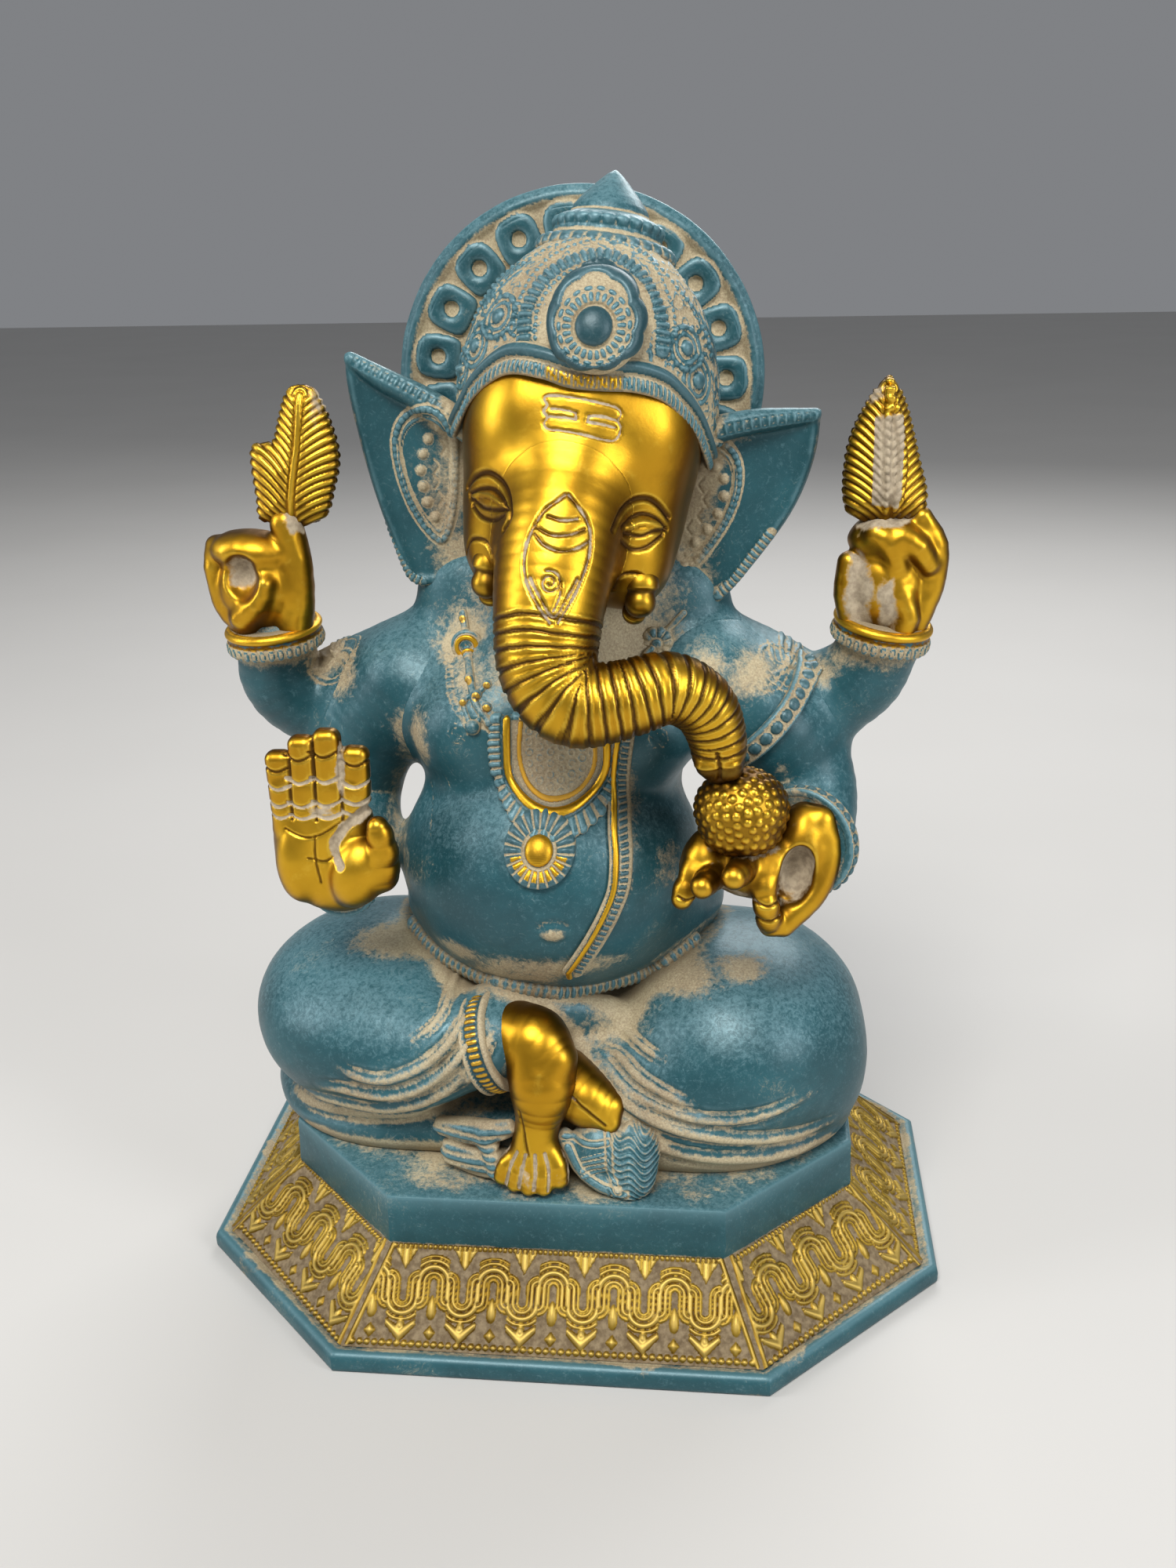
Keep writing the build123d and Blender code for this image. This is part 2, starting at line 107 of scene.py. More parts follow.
def egg(c, r, rot=(0, 0, 0)):
    """An ellipsoid with its middle at c."""
    c, r = floats(c), floats(r)
    m = floats(euler(*rot))
    turned = any(rot)

    def f(p):
        q = p - c
        if turned:
            q = q @ m
        k0 = np.sqrt(((q / r) ** 2).sum(-1))
        k1 = np.sqrt(((q / (r * r)) ** 2).sum(-1))
        return np.where(k1 > 1e-9, k0 * (k0 - 1) / np.maximum(k1, 1e-9), -r.min())

    reach = np.sqrt(((m * r) ** 2).sum(1)) if turned else r
    return Field(f, c - reach, c + reach)


def box(c, half, rot=(0, 0, 0), rounding=0.5):
    """A box with rounded edges."""
    c, half = floats(c), floats(half) - rounding
    m = floats(euler(*rot))

    def f(p):
        q = np.abs((p - c) @ m) - half
        return np.sqrt((np.maximum(q, 0) ** 2).sum(-1)) + np.minimum(q.max(-1), 0) - rounding

    reach = np.abs(m) @ (half + rounding)
    return Field(f, c - reach, c + reach)


def spline(points, step=2.0, closed=False):
    """Points evenly along a smooth curve through the given ones. Extra columns ride along."""
    p = np.asarray(points, dtype=np.float64)
    n = len(p)
    out = []
    spans = n if closed else n - 1
    for i in range(spans):
        if closed:
            a, b, c, d = p[(i - 1) % n], p[i], p[(i + 1) % n], p[(i + 2) % n]
        else:
            b, c = p[i], p[i + 1]
            a = p[i - 1] if i > 0 else 2 * b - c
            d = p[i + 2] if i + 2 < n else 2 * c - b
        m = max(2, int(np.ceil(np.linalg.norm(c[:3] - b[:3]) / step)))
        for t in np.arange(m) / m:
            out.append(0.5 * (2 * b + (c - a) * t + (2 * a - 5 * b + 4 * c - d) * t ** 2
                              + (3 * b - a - 3 * c + d) * t ** 3))
    if not closed:
        out.append(p[-1])
    else:
        out.append(out[0])
    return np.array(out)


def limb(points, radii, step=3.0):
    """A round limb of changing thickness along a smooth path."""
    path = spline(np.column_stack([np.asarray(points, float), radii]), step)
    c, r = floats(path[:, :3]), floats(path[:, 3])
    run, grow = c[1:] - c[:-1], r[1:] - r[:-1]
    square = np.maximum((run ** 2).sum(1), 1e-9)

    def f(p):
        q = p.reshape(-1, 3)
        if len(q) < 1500:
            pa = q[:, None] - c[None, :-1]
            t = np.clip((pa * run).sum(2) / square, 0, 1)
            d = np.sqrt(((pa - t[..., None] * run) ** 2).sum(2)) - (r[:-1] + t * grow)
            return d.min(1).reshape(p.shape[:-1])
        best = np.full(len(q), 1e9, np.float32)
        for i in range(len(run)):
            pa = q - c[i]
            t = np.clip((pa @ run[i]) / square[i], 0, 1)
            d = np.sqrt(((pa - t[:, None] * run[i]) ** 2).sum(-1)) - (r[i] + t * grow[i])
            np.minimum(best, d, out=best)
        return best.reshape(p.shape[:-1])

    return Field(f, (c - r[:, None]).min(0), (c + r[:, None]).max(0))


def ball(c, r):
    return egg(c, (r, r, r))


def union(parts, k=0.0):
    """Several fields as one, blended over k."""
    def f(p):
        d = parts[0](p)
        for q in parts[1:]:
            d = smin(d, q(p), k)
        return d

    return Field(f, np.min([q.lo for q in parts], 0) - k * 0.3, np.max([q.hi for q in parts], 0) + k * 0.3)


def culled(field, reach=10.0):
    """The same field, worked out only near its box."""
    lo, hi = field.lo, field.hi

    def f(p):
        q = p.reshape(-1, 3)
        out = np.sqrt((np.maximum(np.maximum(lo - q, q - hi), 0) ** 2).sum(-1))
        near = out < reach
        if near.any():
            out[near] = field(q[near])
        return out.reshape(p.shape[:-1])

    return Field(f, lo, hi)


def less(a, b, k=0.0):
    """a with b taken away."""
    return Field(lambda p: smax(a(p), -b(p), k), a.lo, a.hi)


def above(a, z, k=0.0):
    """The part of a field over a level."""
    def f(p):
        return smax(a(p), z - p[..., 2], k)

    lo = a.lo.copy()
    lo[2] = max(lo[2], z)
    return Field(f, lo, a.hi)


def placed(field, m, o):
    """A field made in local axes, put at origin o with rotation m (local to frame)."""
    m, o = floats(m), floats(o)
    corners = np.array([[x, y, z] for x in (field.lo[0], field.hi[0]) for y in (field.lo[1], field.hi[1])
                        for z in (field.lo[2], field.hi[2])]) @ m.T + o
    return Field(lambda p: field((p - o) @ m), corners.min(0), corners.max(0))


def gradient(f, p, e=0.15):
    """The field's slope by a tetrahedron of four samples."""
    g = np.zeros_like(p)
    for s in ((1, -1, -1), (-1, -1, 1), (-1, 1, -1), (1, 1, 1)):
        s = floats(s)
        g += s * f(p + s * e)[..., None]
    n = np.sqrt((g ** 2).sum(-1, keepdims=True))
    return g / np.maximum(n, 1e-9), n / (4 * e)


def snap(field, points, rounds):
    """Moves points on to the field's surface."""
    p = floats(points).copy()
    for turn in range(rounds):
        p -= gradient(field, p)[0] * np.clip(field(p), -3, 3)[..., None]
    return p


def drop(field, points):
    """Points given by x and z, moved back from the front to the field's surface."""
    front, far = -95.0, 60.0
    q = floats(points)
    p = np.column_stack([q[:, 0], np.full(len(q), front, np.float32), q[:, 1]])
    for turn in range(60):
        d = field(p)
        if np.abs(d).max() < 0.04:
            break
        p[:, 1] = np.minimum(p[:, 1] + np.clip(d, -1.0, 12.0) * 0.85, far)
    return p


def spot(field, x, z):
    """The point of the field's front surface at x and z."""
    return drop(field, [(x, z)])[0]


def mesh_of(field, h, pad=1.5):
    """Vertices and quads of the field's surface, sampled only near it."""
    h = h * FINE
    lo = field.lo - pad
    size = np.ceil((field.hi + pad - lo) / (4 * h)).astype(int)
    cells = np.stack(np.meshgrid(*[np.arange(n) for n in size], indexing="ij"), -1).reshape(-1, 3)
    centre = floats(lo + (cells + 0.5) * 4 * h)
    d = np.concatenate([field(c) for c in np.array_split(centre, max(1, len(centre) // 200000))])
    near = np.abs(d) < 4 * h * 1.5
    full = np.repeat(np.repeat(np.repeat(np.clip(d, -4 * h, 4 * h).reshape(size), 4, 0), 4, 1), 4, 2)
    sub = np.stack(np.meshgrid(*[np.arange(4)] * 3, indexing="ij"), -1).reshape(-1, 3)
    active = cells[near]
    for chunk in np.array_split(active, max(1, len(active) // 4000)):
        ijk = (chunk[:, None, :] * 4 + sub[None]).reshape(-1, 3)
        full[ijk[:, 0], ijk[:, 1], ijk[:, 2]] = field(floats(lo + (ijk + 0.5) * h))
    grid = openvdb.FloatGrid(float(4 * h))
    grid.copyFromArray(np.ascontiguousarray(full, dtype=np.float32))
    points, quads = grid.convertToQuads(0.0)
    p = floats(lo + (points + 0.5) * h)
    for turn in range(2):
        g, n = gradient(field, p, 0.25 * h)
        p = p - g * np.clip(field(p) / np.maximum(n[..., 0], 0.3), -h, h)[:, None]
    return p, quads


def largest(p, quads, share=0.03):
    """The mesh without its stray islands."""
    label = np.arange(len(p))
    while True:
        low = label[quads].min(1)
        new = label.copy()
        for c in range(4):
            np.minimum.at(new, quads[:, c], low)
        new = new[new]
        if (new == label).all():
            break
        label = new
    names, counts = np.unique(label, return_counts=True)
    keep = np.isin(label, names[counts >= counts.max() * share])
    index = np.cumsum(keep) - 1
    return p[keep], index[quads[keep[quads].all(1)]]


# ============================== relief: lines, beads and ribs laid on a surface

def to_path(p, path, reach):
    """Distance to a path and the length along it, for the points near it."""
    path = floats(path)
    dist = np.full(len(p), 1e3, np.float32)
    along = np.zeros(len(p), np.float32)
    lo, hi = path.min(0) - reach, path.max(0) + reach
    idx = np.nonzero(((p > lo) & (p < hi)).all(1))[0]
    if len(idx) == 0:
        return dist, along
    q = p[idx]
    best = np.full(len(q), 1e3, np.float32)
    where = np.zeros(len(q), np.float32)
    run = 0.0
    for a, b in zip(path[:-1], path[1:]):
        ab = b - a
        length = float(np.sqrt((ab ** 2).sum()))
        if length < 1e-6:
            continue
        t = np.clip(((q - a) @ ab) / (length * length), 0, 1)
        d = np.sqrt(((q - a - t[:, None] * ab) ** 2).sum(1))
        closer = d < best
        best = np.where(closer, d, best)
        where = np.where(closer, run + t * length, where)
        run += length
    dist[idx] = best
    along[idx] = where
    return dist, along


def bump(x):
    """A soft swelling: 1 in the middle, 0 from x = 1 on."""
    return np.clip(1 - x * x, 0, 1) ** 1.5


def rounded(x):
    """A half-round section: 1 in the middle, 0 from x = 1 on."""
    return np.sqrt(np.clip(1 - x * x, 0, 1))


def ribbed(turn):
    """Round ribs side by side, one in every full turn."""
    return np.sqrt(0.5 + 0.5 * np.cos(turn))


class Skin:
    """The height and colour masks being built up on a mesh's vertices."""

    def __init__(self, p, n):
        self.p, self.n = p, n
        self.h = np.zeros(len(p), np.float32)
        self.wash = np.zeros(len(p), np.float32)
        self.gold = np.zeros(len(p), np.float32)
        self.dark = np.zeros(len(p), np.float32)

    def lift(self, **masks):
        """Raises the wash, gold or dark mask wherever the new values are higher."""
        for key, values in masks.items():
            setattr(self, key, np.maximum(getattr(self, key), values))

    def groove(self, path, width=0.7, depth=0.5, wash=0.0, dark=0.0):
        d = to_path(self.p, path, width * 3)[0]
        self.h -= depth * bump(d / width)
        self.lift(wash=wash * bump(d / (width * 1.5)))
        self.lift(dark=dark * bump(d / (width * 1.1)))

    def ridge(self, path, width=0.8, height=0.6, gold=0.0, wash=0.0):
        d = to_path(self.p, path, width * 3)[0]
        self.h += height * rounded(d / width)
        self.lift(gold=gold * (d < width))
        self.lift(wash=wash * bump((d - width * 1.35) / (width * 0.6)))

    def beads(self, path, spacing=1.6, radius=0.7, height=0.6, gold=0.0, wash=0.0):
        d, s = to_path(self.p, path, radius * 4)
        x = (np.mod(s, spacing) - spacing / 2)
        r = np.sqrt(d * d + x * x)
        self.h += height * rounded(r / radius)
        self.lift(gold=gold * (r < radius))
        self.lift(wash=wash * ((d < radius * 1.5) & (r > radius * 0.95)))

    def ribs(self, path, half=1.5, spacing=1.2, height=0.5, gold=0.0, wash=0.0):
        d, s = to_path(self.p, path, half * 2)
        band = np.clip((half - d) / 0.35, 0, 1)
        wave = 0.5 + 0.5 * np.cos(2 * PI * s / spacing)
        self.h += height * band * np.sqrt(wave)
        self.lift(gold=gold * band * (wave > 0.35))
        self.lift(wash=wash * band * (wave < 0.3))

    def distance(self, c):
        return np.sqrt(((self.p - floats(c)) ** 2).sum(1))

    def dot(self, c, radius, height, gold=0.0, wash=0.0, dark=0.0):
        r = self.distance(c)
        self.h += height * rounded(r / radius)
        self.lift(gold=gold * (r < radius))
        self.lift(dark=dark * (r < radius))
        self.lift(wash=wash * bump((r - radius * 1.2) / (radius * 0.5)))

    def ring(self, c, radius, width, height, gold=0.0, wash=0.0):
        r = np.abs(self.distance(c) - radius)
        self.h += height * rounded(r / width)
        self.lift(gold=gold * (r < width))
        self.lift(wash=wash * bump((r - width * 1.4) / (width * 0.8)))

    def stain(self, c, radius, amount):
        r = np.sqrt((((self.p - floats(c)) / floats(radius)) ** 2).sum(1))
        self.lift(wash=amount * np.clip(1.3 - r, 0, 1))


def corner_weight(f, dx, dy, dz):
    """How much one corner of a grid cell counts at the fractions f."""
    return (f[:, 0] if dx else 1 - f[:, 0]) * (f[:, 1] if dy else 1 - f[:, 1]) * (f[:,
                                                                                    2] if dz else 1 - f[:, 2])


def hash_noise(p, scale, seed=0):
    """Smooth value noise from -1 to 1."""
    q = p / scale + seed * 17.13
    i = np.floor(q).astype(np.int64)
    f = (q - i).astype(np.float32)
    f = f * f * (3 - 2 * f)

    def corner(dx, dy, dz):
        n = (i[:, 0] + dx) * 73856093 ^ (i[:, 1] + dy) * 19349663
        n = n ^ (i[:, 2] + dz) * 83492791 ^ (seed * 2654435761)
        n = (n ^ (n >> 13)) * 1274126177 & 0x7FFFFFFF
        return (n % 65536).astype(np.float32) / 32768.0 - 1.0

    out = 0
    for dx in (0, 1):
        for dy in (0, 1):
            for dz in (0, 1):
                out = out + corner_weight(f, dx, dy, dz) * corner(dx, dy, dz)
    return out


# ============================== shapes of the castings

HEAD_O = floats((5.0, -12.0, 212.0))
HEAD_R = floats(euler(0, 8, 0) @ euler(0, 0, 4))


def head_points(*p):
    """Points in the head's own axes, in the frame."""
    return floats(p) @ HEAD_R.T + HEAD_O


def head_local(p):
    """The frame's points in the head's own axes."""
    return (p - HEAD_O) @ HEAD_R


def in_head(field):
    return placed(field, HEAD_R, HEAD_O)


RAW = {}
RAW["torso"] = union([
    egg((-4.5, -9, 112), (39.5, 39, 34)),
    egg((-4, -2, 148), (38, 27, 26)),
    egg((-4, 6, 159), (52, 19, 16)),
    egg((-23, -17, 150), (14, 13, 12)),
    egg((20, -17, 150), (14, 13, 12)),
    egg((-3, 6, 95), (44, 36, 18)),
    limb([(-3, 4, 158), (0, 2, 172), (2, 0, 186)], [24, 21, 20]),
    egg((-23, 5, 177), (17, 11, 15), (0, 22, 0)),
    egg((25, 5, 176), (17, 11, 15), (0, -20, 0)),
], 9)
RAW["rear_right_arm"] = limb([(-34, 9, 160), (-54, 9, 154), (-69, 6, 150), (-77, 2, 157), (-77, -1, 168)],
                             [15, 13.5, 12.3, 11, 9.8])
RAW["rear_left_arm"] = limb([(28, 9, 162), (46, 9, 157), (61.5, 6, 151.5), (74, 2, 158), (79.6, -1, 169)],
                            [15, 13.5, 12.3, 11, 9.8])
RAW["front_right_arm"] = limb([(-42, -2, 157), (-53, -1, 142), (-58, 0, 127), (-56.5, -12, 116),
                               (-55, -33, 114)],
                              [14.5, 12.5, 11.5, 10.5, 7.6])
RAW["front_left_arm"] = limb([(37, -3, 158), (51, -4, 148), (59.5, -3, 136), (62, -11, 125), (59, -27, 122)],
                             [15, 15, 14, 12.5, 9.5])
BODY = ["torso", "rear_right_arm", "rear_left_arm", "front_right_arm", "front_left_arm"]

RAW["crossed_legs"] = above(union([
    egg((-50, -9, 68.5), (37.5, 39, 24)),
    egg((44.5, -8, 64.5), (34.5, 40, 27)),
    egg((-3, 14, 62), (58, 36, 30)),
    egg((-46, -2, 42), (40, 38, 15)),
    egg((36, -4, 42), (42, 40, 15)),
    limb([(-62, -24, 66), (-42, -36, 67), (-26, -41, 72), (-17, -42, 74)], [17, 16, 12.5, 10.8]),
    limb([(60, -18, 56), (40, -29, 54), (22, -34, 55), (6, -33, 58)], [19, 18, 15, 12]),
    egg((-4, -24, 44), (44, 24, 10)),
    limb([(-16, -34, 80), (-4, -31, 77.5), (10, -27, 75)], [6.5, 6.5, 4.5]),
], 7), DAIS_TOP, 0.6)

RAW["head"] = in_head(union([
    egg((0, 2, 6), (28, 23, 26)),
    egg((0, -3, -8), (25.5, 20, 22)),
    egg((-11, -6, 13), (15.5, 15, 17)),
    egg((11, -6, 13), (15.5, 15, 17)),
    egg((0.5, -8, 12), (12, 14.5, 22)),
    egg((-14, -9, -12), (9.5, 12, 15)),
    egg((14, -9, -12), (9.5, 12, 15)),
    egg((-15.5, -13.5, -17), (6.5, 7.5, 7.5)),
    egg((15.5, -13.5, -17), (6.5, 7.5, 7.5)),
], 7))
TRUNK_LINE = [(5.6, -20, 220), (4.2, -29, 210), (2.6, -38, 199), (1.2, -46, 186), (1.6, -50.5, 175),
              (7.5, -53, 168.0), (18, -51.5, 168.6), (28, -48, 170.5), (35.5, -44.5, 166), (39, -42.5, 158.5),
              (40, -41.5, 151.5)]
RAW["trunk"] = limb(TRUNK_LINE, [12, 14.5, 14.0, 12.4, 11.2, 9.9, 8.9, 8.2, 7.6, 6.9, 6.2])


def split(group, k, overlap=0.8):
    """Castings of one group, flowing into each other, each cut where it meets the next."""
    raw = {n: culled(RAW[n]) for n in group}
    whole = union([raw[n] for n in group], k)
    out = {}
    for name in group:
        own = raw[name]
        others = [raw[n] for n in group if n != name]

        def f(p, own=own, others=others):
            rest = others[0](p)
            for o in others[1:]:
                rest = np.minimum(rest, o(p))
            beyond = (own(p) - rest) * 0.5
            return np.maximum(whole(p) + np.clip(beyond * 0.6, 0, 0.5), beyond - overlap)

        out[name] = Field(f, own.lo - 2, own.hi + 2)
    return out


SOLID = {}
SOLID.update(split(BODY, 7))
SOLID["crossed_legs"] = RAW["crossed_legs"]
SOLID.update(split(["head", "trunk"], 6))


def tusk(side):
    """A short tusk with a rounded end."""
    a, b, c, d = head_points((side * 16.5, -13, -16), (side * 17.5, -19.0, -19.5),
                             (side * 18.0, -20.5, -23.5), (side * 17.0, -17, -27))
    return union([limb([a, b], [5.6, 4.4]), ball(c, 3.7), ball(d, 2.9)], 1.0)


SOLID["right_tusk"] = tusk(-1)
SOLID["left_tusk"] = tusk(1)


def polygon_distance(u, v, pts):
    """Signed distance in a plane to a closed outline, negative inside."""
    pts = floats(pts)
    d = np.full(u.shape, 1e9, np.float32)
    sign = np.ones(u.shape, np.float32)
    n = len(pts)
    for i in range(n):
        a, b = pts[i], pts[(i + 1) % n]
        ex, ey = b[0] - a[0], b[1] - a[1]
        wx, wy = u - a[0], v - a[1]
        t = np.clip((wx * ex + wy * ey) / (ex * ex + ey * ey + 1e-12), 0, 1)
        d = np.minimum(d, (wx - ex * t) ** 2 + (wy - ey * t) ** 2)
        c1, c2 = a[1] <= v, b[1] <= v
        cross = ex * wy - ey * wx
        sign = np.where((c1 & ~c2 & (cross < 0)) | (~c1 & c2 & (cross > 0)), -sign, sign)
    return np.sqrt(d) * sign


EAR_OUT = {
    "right_ear": [(-20, 224), (-27, 227.5), (-35, 231.2), (-44, 236), (-51.8, 240.2), (-53.2, 238.5),
                  (-53, 231), (-51, 219), (-48.2, 207), (-44.6, 195.5), (-40.8, 184.8), (-37, 182.6),
                  (-31, 183), (-24, 186.5), (-17, 196), (-16, 210)],
    "left_ear": [(30, 221), (38, 223.6), (47, 224.8), (56, 225.6), (61.8, 226), (62.6, 224), (61.4, 214),
                 (57.2, 203), (50, 192), (42, 181.8), (36.5, 176.6), (33.5, 177.2), (28, 186), (24, 198),
                 (24, 210)],
}


def ear(name):
    """A fan of even thickness, dished to the front, with a rolled edge and a thick folded top."""
    line = spline(EAR_OUT[name], 3.0, closed=True)[:-1]
    side = -1 if name == "right_ear" else 1
    root = -24.0 if side < 0 else 30.0
    tip = -53.0 if side < 0 else 62.0

    def middle(p):
        s = np.clip((p[..., 0] - root) / (tip - root), -0.3, 1.1)
        return 1.5 - 5.0 * s + 4.5 * s * s

    def f(p):
        edge = polygon_distance(p[..., 0], p[..., 2], line)
        lip = 0.9 * np.exp(-((edge + 1.6) / 1.6) ** 2)
        depth = np.abs(p[..., 1] - middle(p)) - 1.6 - lip
        return smax(edge, depth * 0.9, 1.6)

    lo = (line[:, 0].min() - 1, -8, line[:, 1].min() - 1)
    hi = (line[:, 0].max() + 1, 9, line[:, 1].max() + 1)
    fan = Field(f, lo, hi)
    if side < 0:
        top = limb([(-22, -4, 222), (-34, -3, 229.5), (-44, -2, 234.5), (-51.5, -1, 239.0)],
                   [3.6, 3.2, 2.6, 1.4])
    else:
        top = limb([(30, -5, 219.5), (40, -4, 222.4), (51, -2.5, 224.0), (61.0, -1, 224.8)],
                   [3.6, 3.2, 2.6, 1.4])
    return union([fan, top], 1.5)


SOLID["right_ear"] = ear("right_ear")
SOLID["left_ear"] = ear("left_ear")


# ------------------------------ crown

DOME_C, DOME_R = floats((0, 6, 16)), floats((31, 28, 39))


RIM_LINE = spline([(-40, 0, -4), (-34, 0, 4), (-29.4, 0, 12.6), (-26.3, 0, 19), (-22.2, 0, 24.2),
                   (-17.3, 0, 27.2), (-10.4, 0, 27.4), (-3.9, 0, 26.4), (3, 0, 26.6), (10.3, 0, 27.0),
                   (16.8, 0, 25.6), (21.4, 0, 22.4), (25.5, 0, 18.2), (29.5, 0, 12), (34, 0, 4),
                   (40, 0, -4)], 0.5)


def rim_height(x):
    """Height of the crown's lower edge in the head's axes: two low lobes over the brow."""
    return np.interp(x, RIM_LINE[:, 0], RIM_LINE[:, 2]).astype(np.float32)


def crown_cut(q):
    """Height above the crown's lower edge, falling away to the back of the head."""
    back = np.clip(q[..., 1] + 10, 0, 60)
    return q[..., 2] - rim_height(q[..., 0]) + back * 0.12


dome = egg(DOME_C, DOME_R)
SOLID["crown"] = in_head(Field(lambda q: smax(dome(q), -(crown_cut(q) - 3.0), 0.6), dome.lo, dome.hi))


def band_field(q):
    return smax(dome(q) - 1.3, np.abs(crown_cut(q)) - 3.6, 1.0)


SOLID["crown_band"] = in_head(Field(band_field, dome.lo - 2, dome.hi + 2))


def lathe(profile, origin, tilt):
    """A turned piece: profile is (height, radius) pairs along a tilted axis."""
    m, o = floats(euler(*tilt)), floats(origin)
    prof = np.array(profile, float)

    def f(q):
        r = (q - o) @ m
        rad = np.sqrt(r[..., 0] ** 2 + r[..., 1] ** 2)
        out = np.interp(r[..., 2], prof[:, 0], prof[:, 1]).astype(np.float32)
        end = np.maximum(prof[0, 0] - r[..., 2], r[..., 2] - prof[-1, 0])
        return smax((rad - out) * 0.75, end, 0.3)

    reach = prof[:, 1].max()
    lo = o - reach
    hi = o + reach
    hi[2] = o[2] + prof[-1, 0] + 1
    lo[2] = o[2] + prof[0, 0] - 3
    return Field(f, lo - 4, hi + 4)


SOLID["crown_finial"] = in_head(lathe(
    [(-3, 15.5), (0, 15.5), (1.6, 16.4), (3.2, 15.8), (4.6, 13.2), (6.2, 12.6), (8.0, 13.0), (9.2, 11.6),
     (10.2, 9.6), (11.0, 9.3), (12.0, 8.9), (14.0, 7.4), (16.0, 5.6), (18.0, 3.7), (19.8, 1.8), (20.6, 0.7),
     (21.0, 0.05)],
    (0, 15.0, 48.3), (-12, 0, 0)))
SOLID["crown_medallion"] = in_head(egg((0.6, -18.6, 37.2), (10.2, 4.2, 11.8), (-26, 0, 0)))


# ------------------------------ halo

HALO_C = floats((2.7, 20, 231.5))
HALO_M = floats(euler(-4, 0, 0))
HALO_R = 46.3


def halo_local(q):
    """A disc with a tube for its rim."""
    r = np.sqrt(q[..., 0] ** 2 + q[..., 2] ** 2)
    plate = smax(r - HALO_R, np.abs(q[..., 1]) - 2.0, 0.5)
    tube = np.sqrt((r - (HALO_R - 2.4)) ** 2 + (q[..., 1] * 0.72) ** 2) - 2.4
    return smin(plate, tube, 1.0)


HALO_BOX = floats((HALO_R + 1, 4, HALO_R + 1))
SOLID["halo"] = placed(Field(halo_local, -HALO_BOX, HALO_BOX), HALO_M, HALO_C)


def before_halo(field):
    """The field cut off at the middle of the halo's thickness."""
    return Field(lambda p: smax(field(p), ((p - HALO_C) @ HALO_M)[..., 1], 0.2), field.lo, field.hi)


SOLID["crown"] = before_halo(SOLID["crown"])
SOLID["crown_band"] = before_halo(SOLID["crown_band"])


# ------------------------------ hands

def finger(points, r0, r1, bulge=0.12):
    """A finger with soft swellings between its joints."""
    pts = spline(points, 1.0)
    n = len(pts)
    t = np.arange(n) / max(n - 1, 1)
    r = r0 + (r1 - r0) * t + bulge * np.cos(2 * PI * 3 * t + PI)
    return limb(pts, r, 1.5)


SOLID["blessing_hand"] = union([
    egg((-56.5, -39.5, 128), (13.2, 6.2, 13.5)),
    egg((-55.0, -39.0, 119), (12.5, 6.6, 10.5)),
    egg((-63.0, -41.5, 123), (6.0, 5.5, 11)),
    egg((-48.0, -43.5, 121), (7.0, 6.2, 9.5), (0, 20, 0)),
    box((-65.9, -40.6, 140.5), (3.35, 2.7, 11.0), (0, -2, 0), 2.3),
    box((-59.8, -41.4, 142.6), (3.3, 2.8, 13.0), (0, -1, 0), 2.3),
    box((-53.7, -41.4, 143.8), (3.35, 2.8, 13.6), (0, 0, 0), 2.3),
    box((-47.3, -40.8, 141.8), (3.3, 2.6, 11.2), (0, 1.5, 0), 2.3),
    box((-56.8, -40.2, 137.5), (11.0, 3.6, 7.0), (0, 0, 0), 2.5),
    finger([(-42.5, -42.5, 120), (-41.0, -45.0, 128), (-41.6, -46.0, 134.2)], 4.6, 2.9, 0.2),
], 1.6)

SOLID["offering_hand"] = less(union([
    egg((49.5, -37, 123), (12.5, 9.5, 8.5)),
    egg((58.5, -34, 123), (8.5, 8.5, 15), (0, 14, 0)),
    egg((36.5, -37, 124), (5.5, 7.5, 8.5), (0, 24, 0)),
    finger([(49, -40, 124), (46, -46, 125.4), (43.8, -51.0, 125.4)], 3.5, 3.2, 0.1),
    finger([(42, -39, 122), (38.6, -45, 122.4), (36.4, -49.6, 122.2)], 3.4, 3.1, 0.1),
    finger([(37, -38, 128), (33.6, -42.5, 122), (31.4, -44.5, 116.5)], 3.4, 2.8, 0.2),
    finger([(50.5, -44, 123), (51.6, -46, 116), (52.6, -43.5, 109.6)], 3.3, 3.0, 0.2),
    limb([(64.5, -35, 134), (66, -36, 126), (63, -39, 117), (55.5, -42, 109.5)], [3.4, 3.6, 3.6, 3.4]),
], 1.6), egg((58.6, -43.5, 122.4), (4.4, 7.5, 7.6), (0, 12, 0)), 1.2)
SOLID["front_left_arm"] = less(SOLID["front_left_arm"], egg((58.6, -44.5, 122.4), (6.4, 14.0, 9.6),
                                                            (0, 12, 0)), 1.0)
SOLID["sweet_ball"] = union([egg((45.3, -39.5, 138.2), (11.2, 10.6, 9.8)),
                             egg((45.3, -39.5, 132.2), (9.0, 9.0, 5.0))], 3)

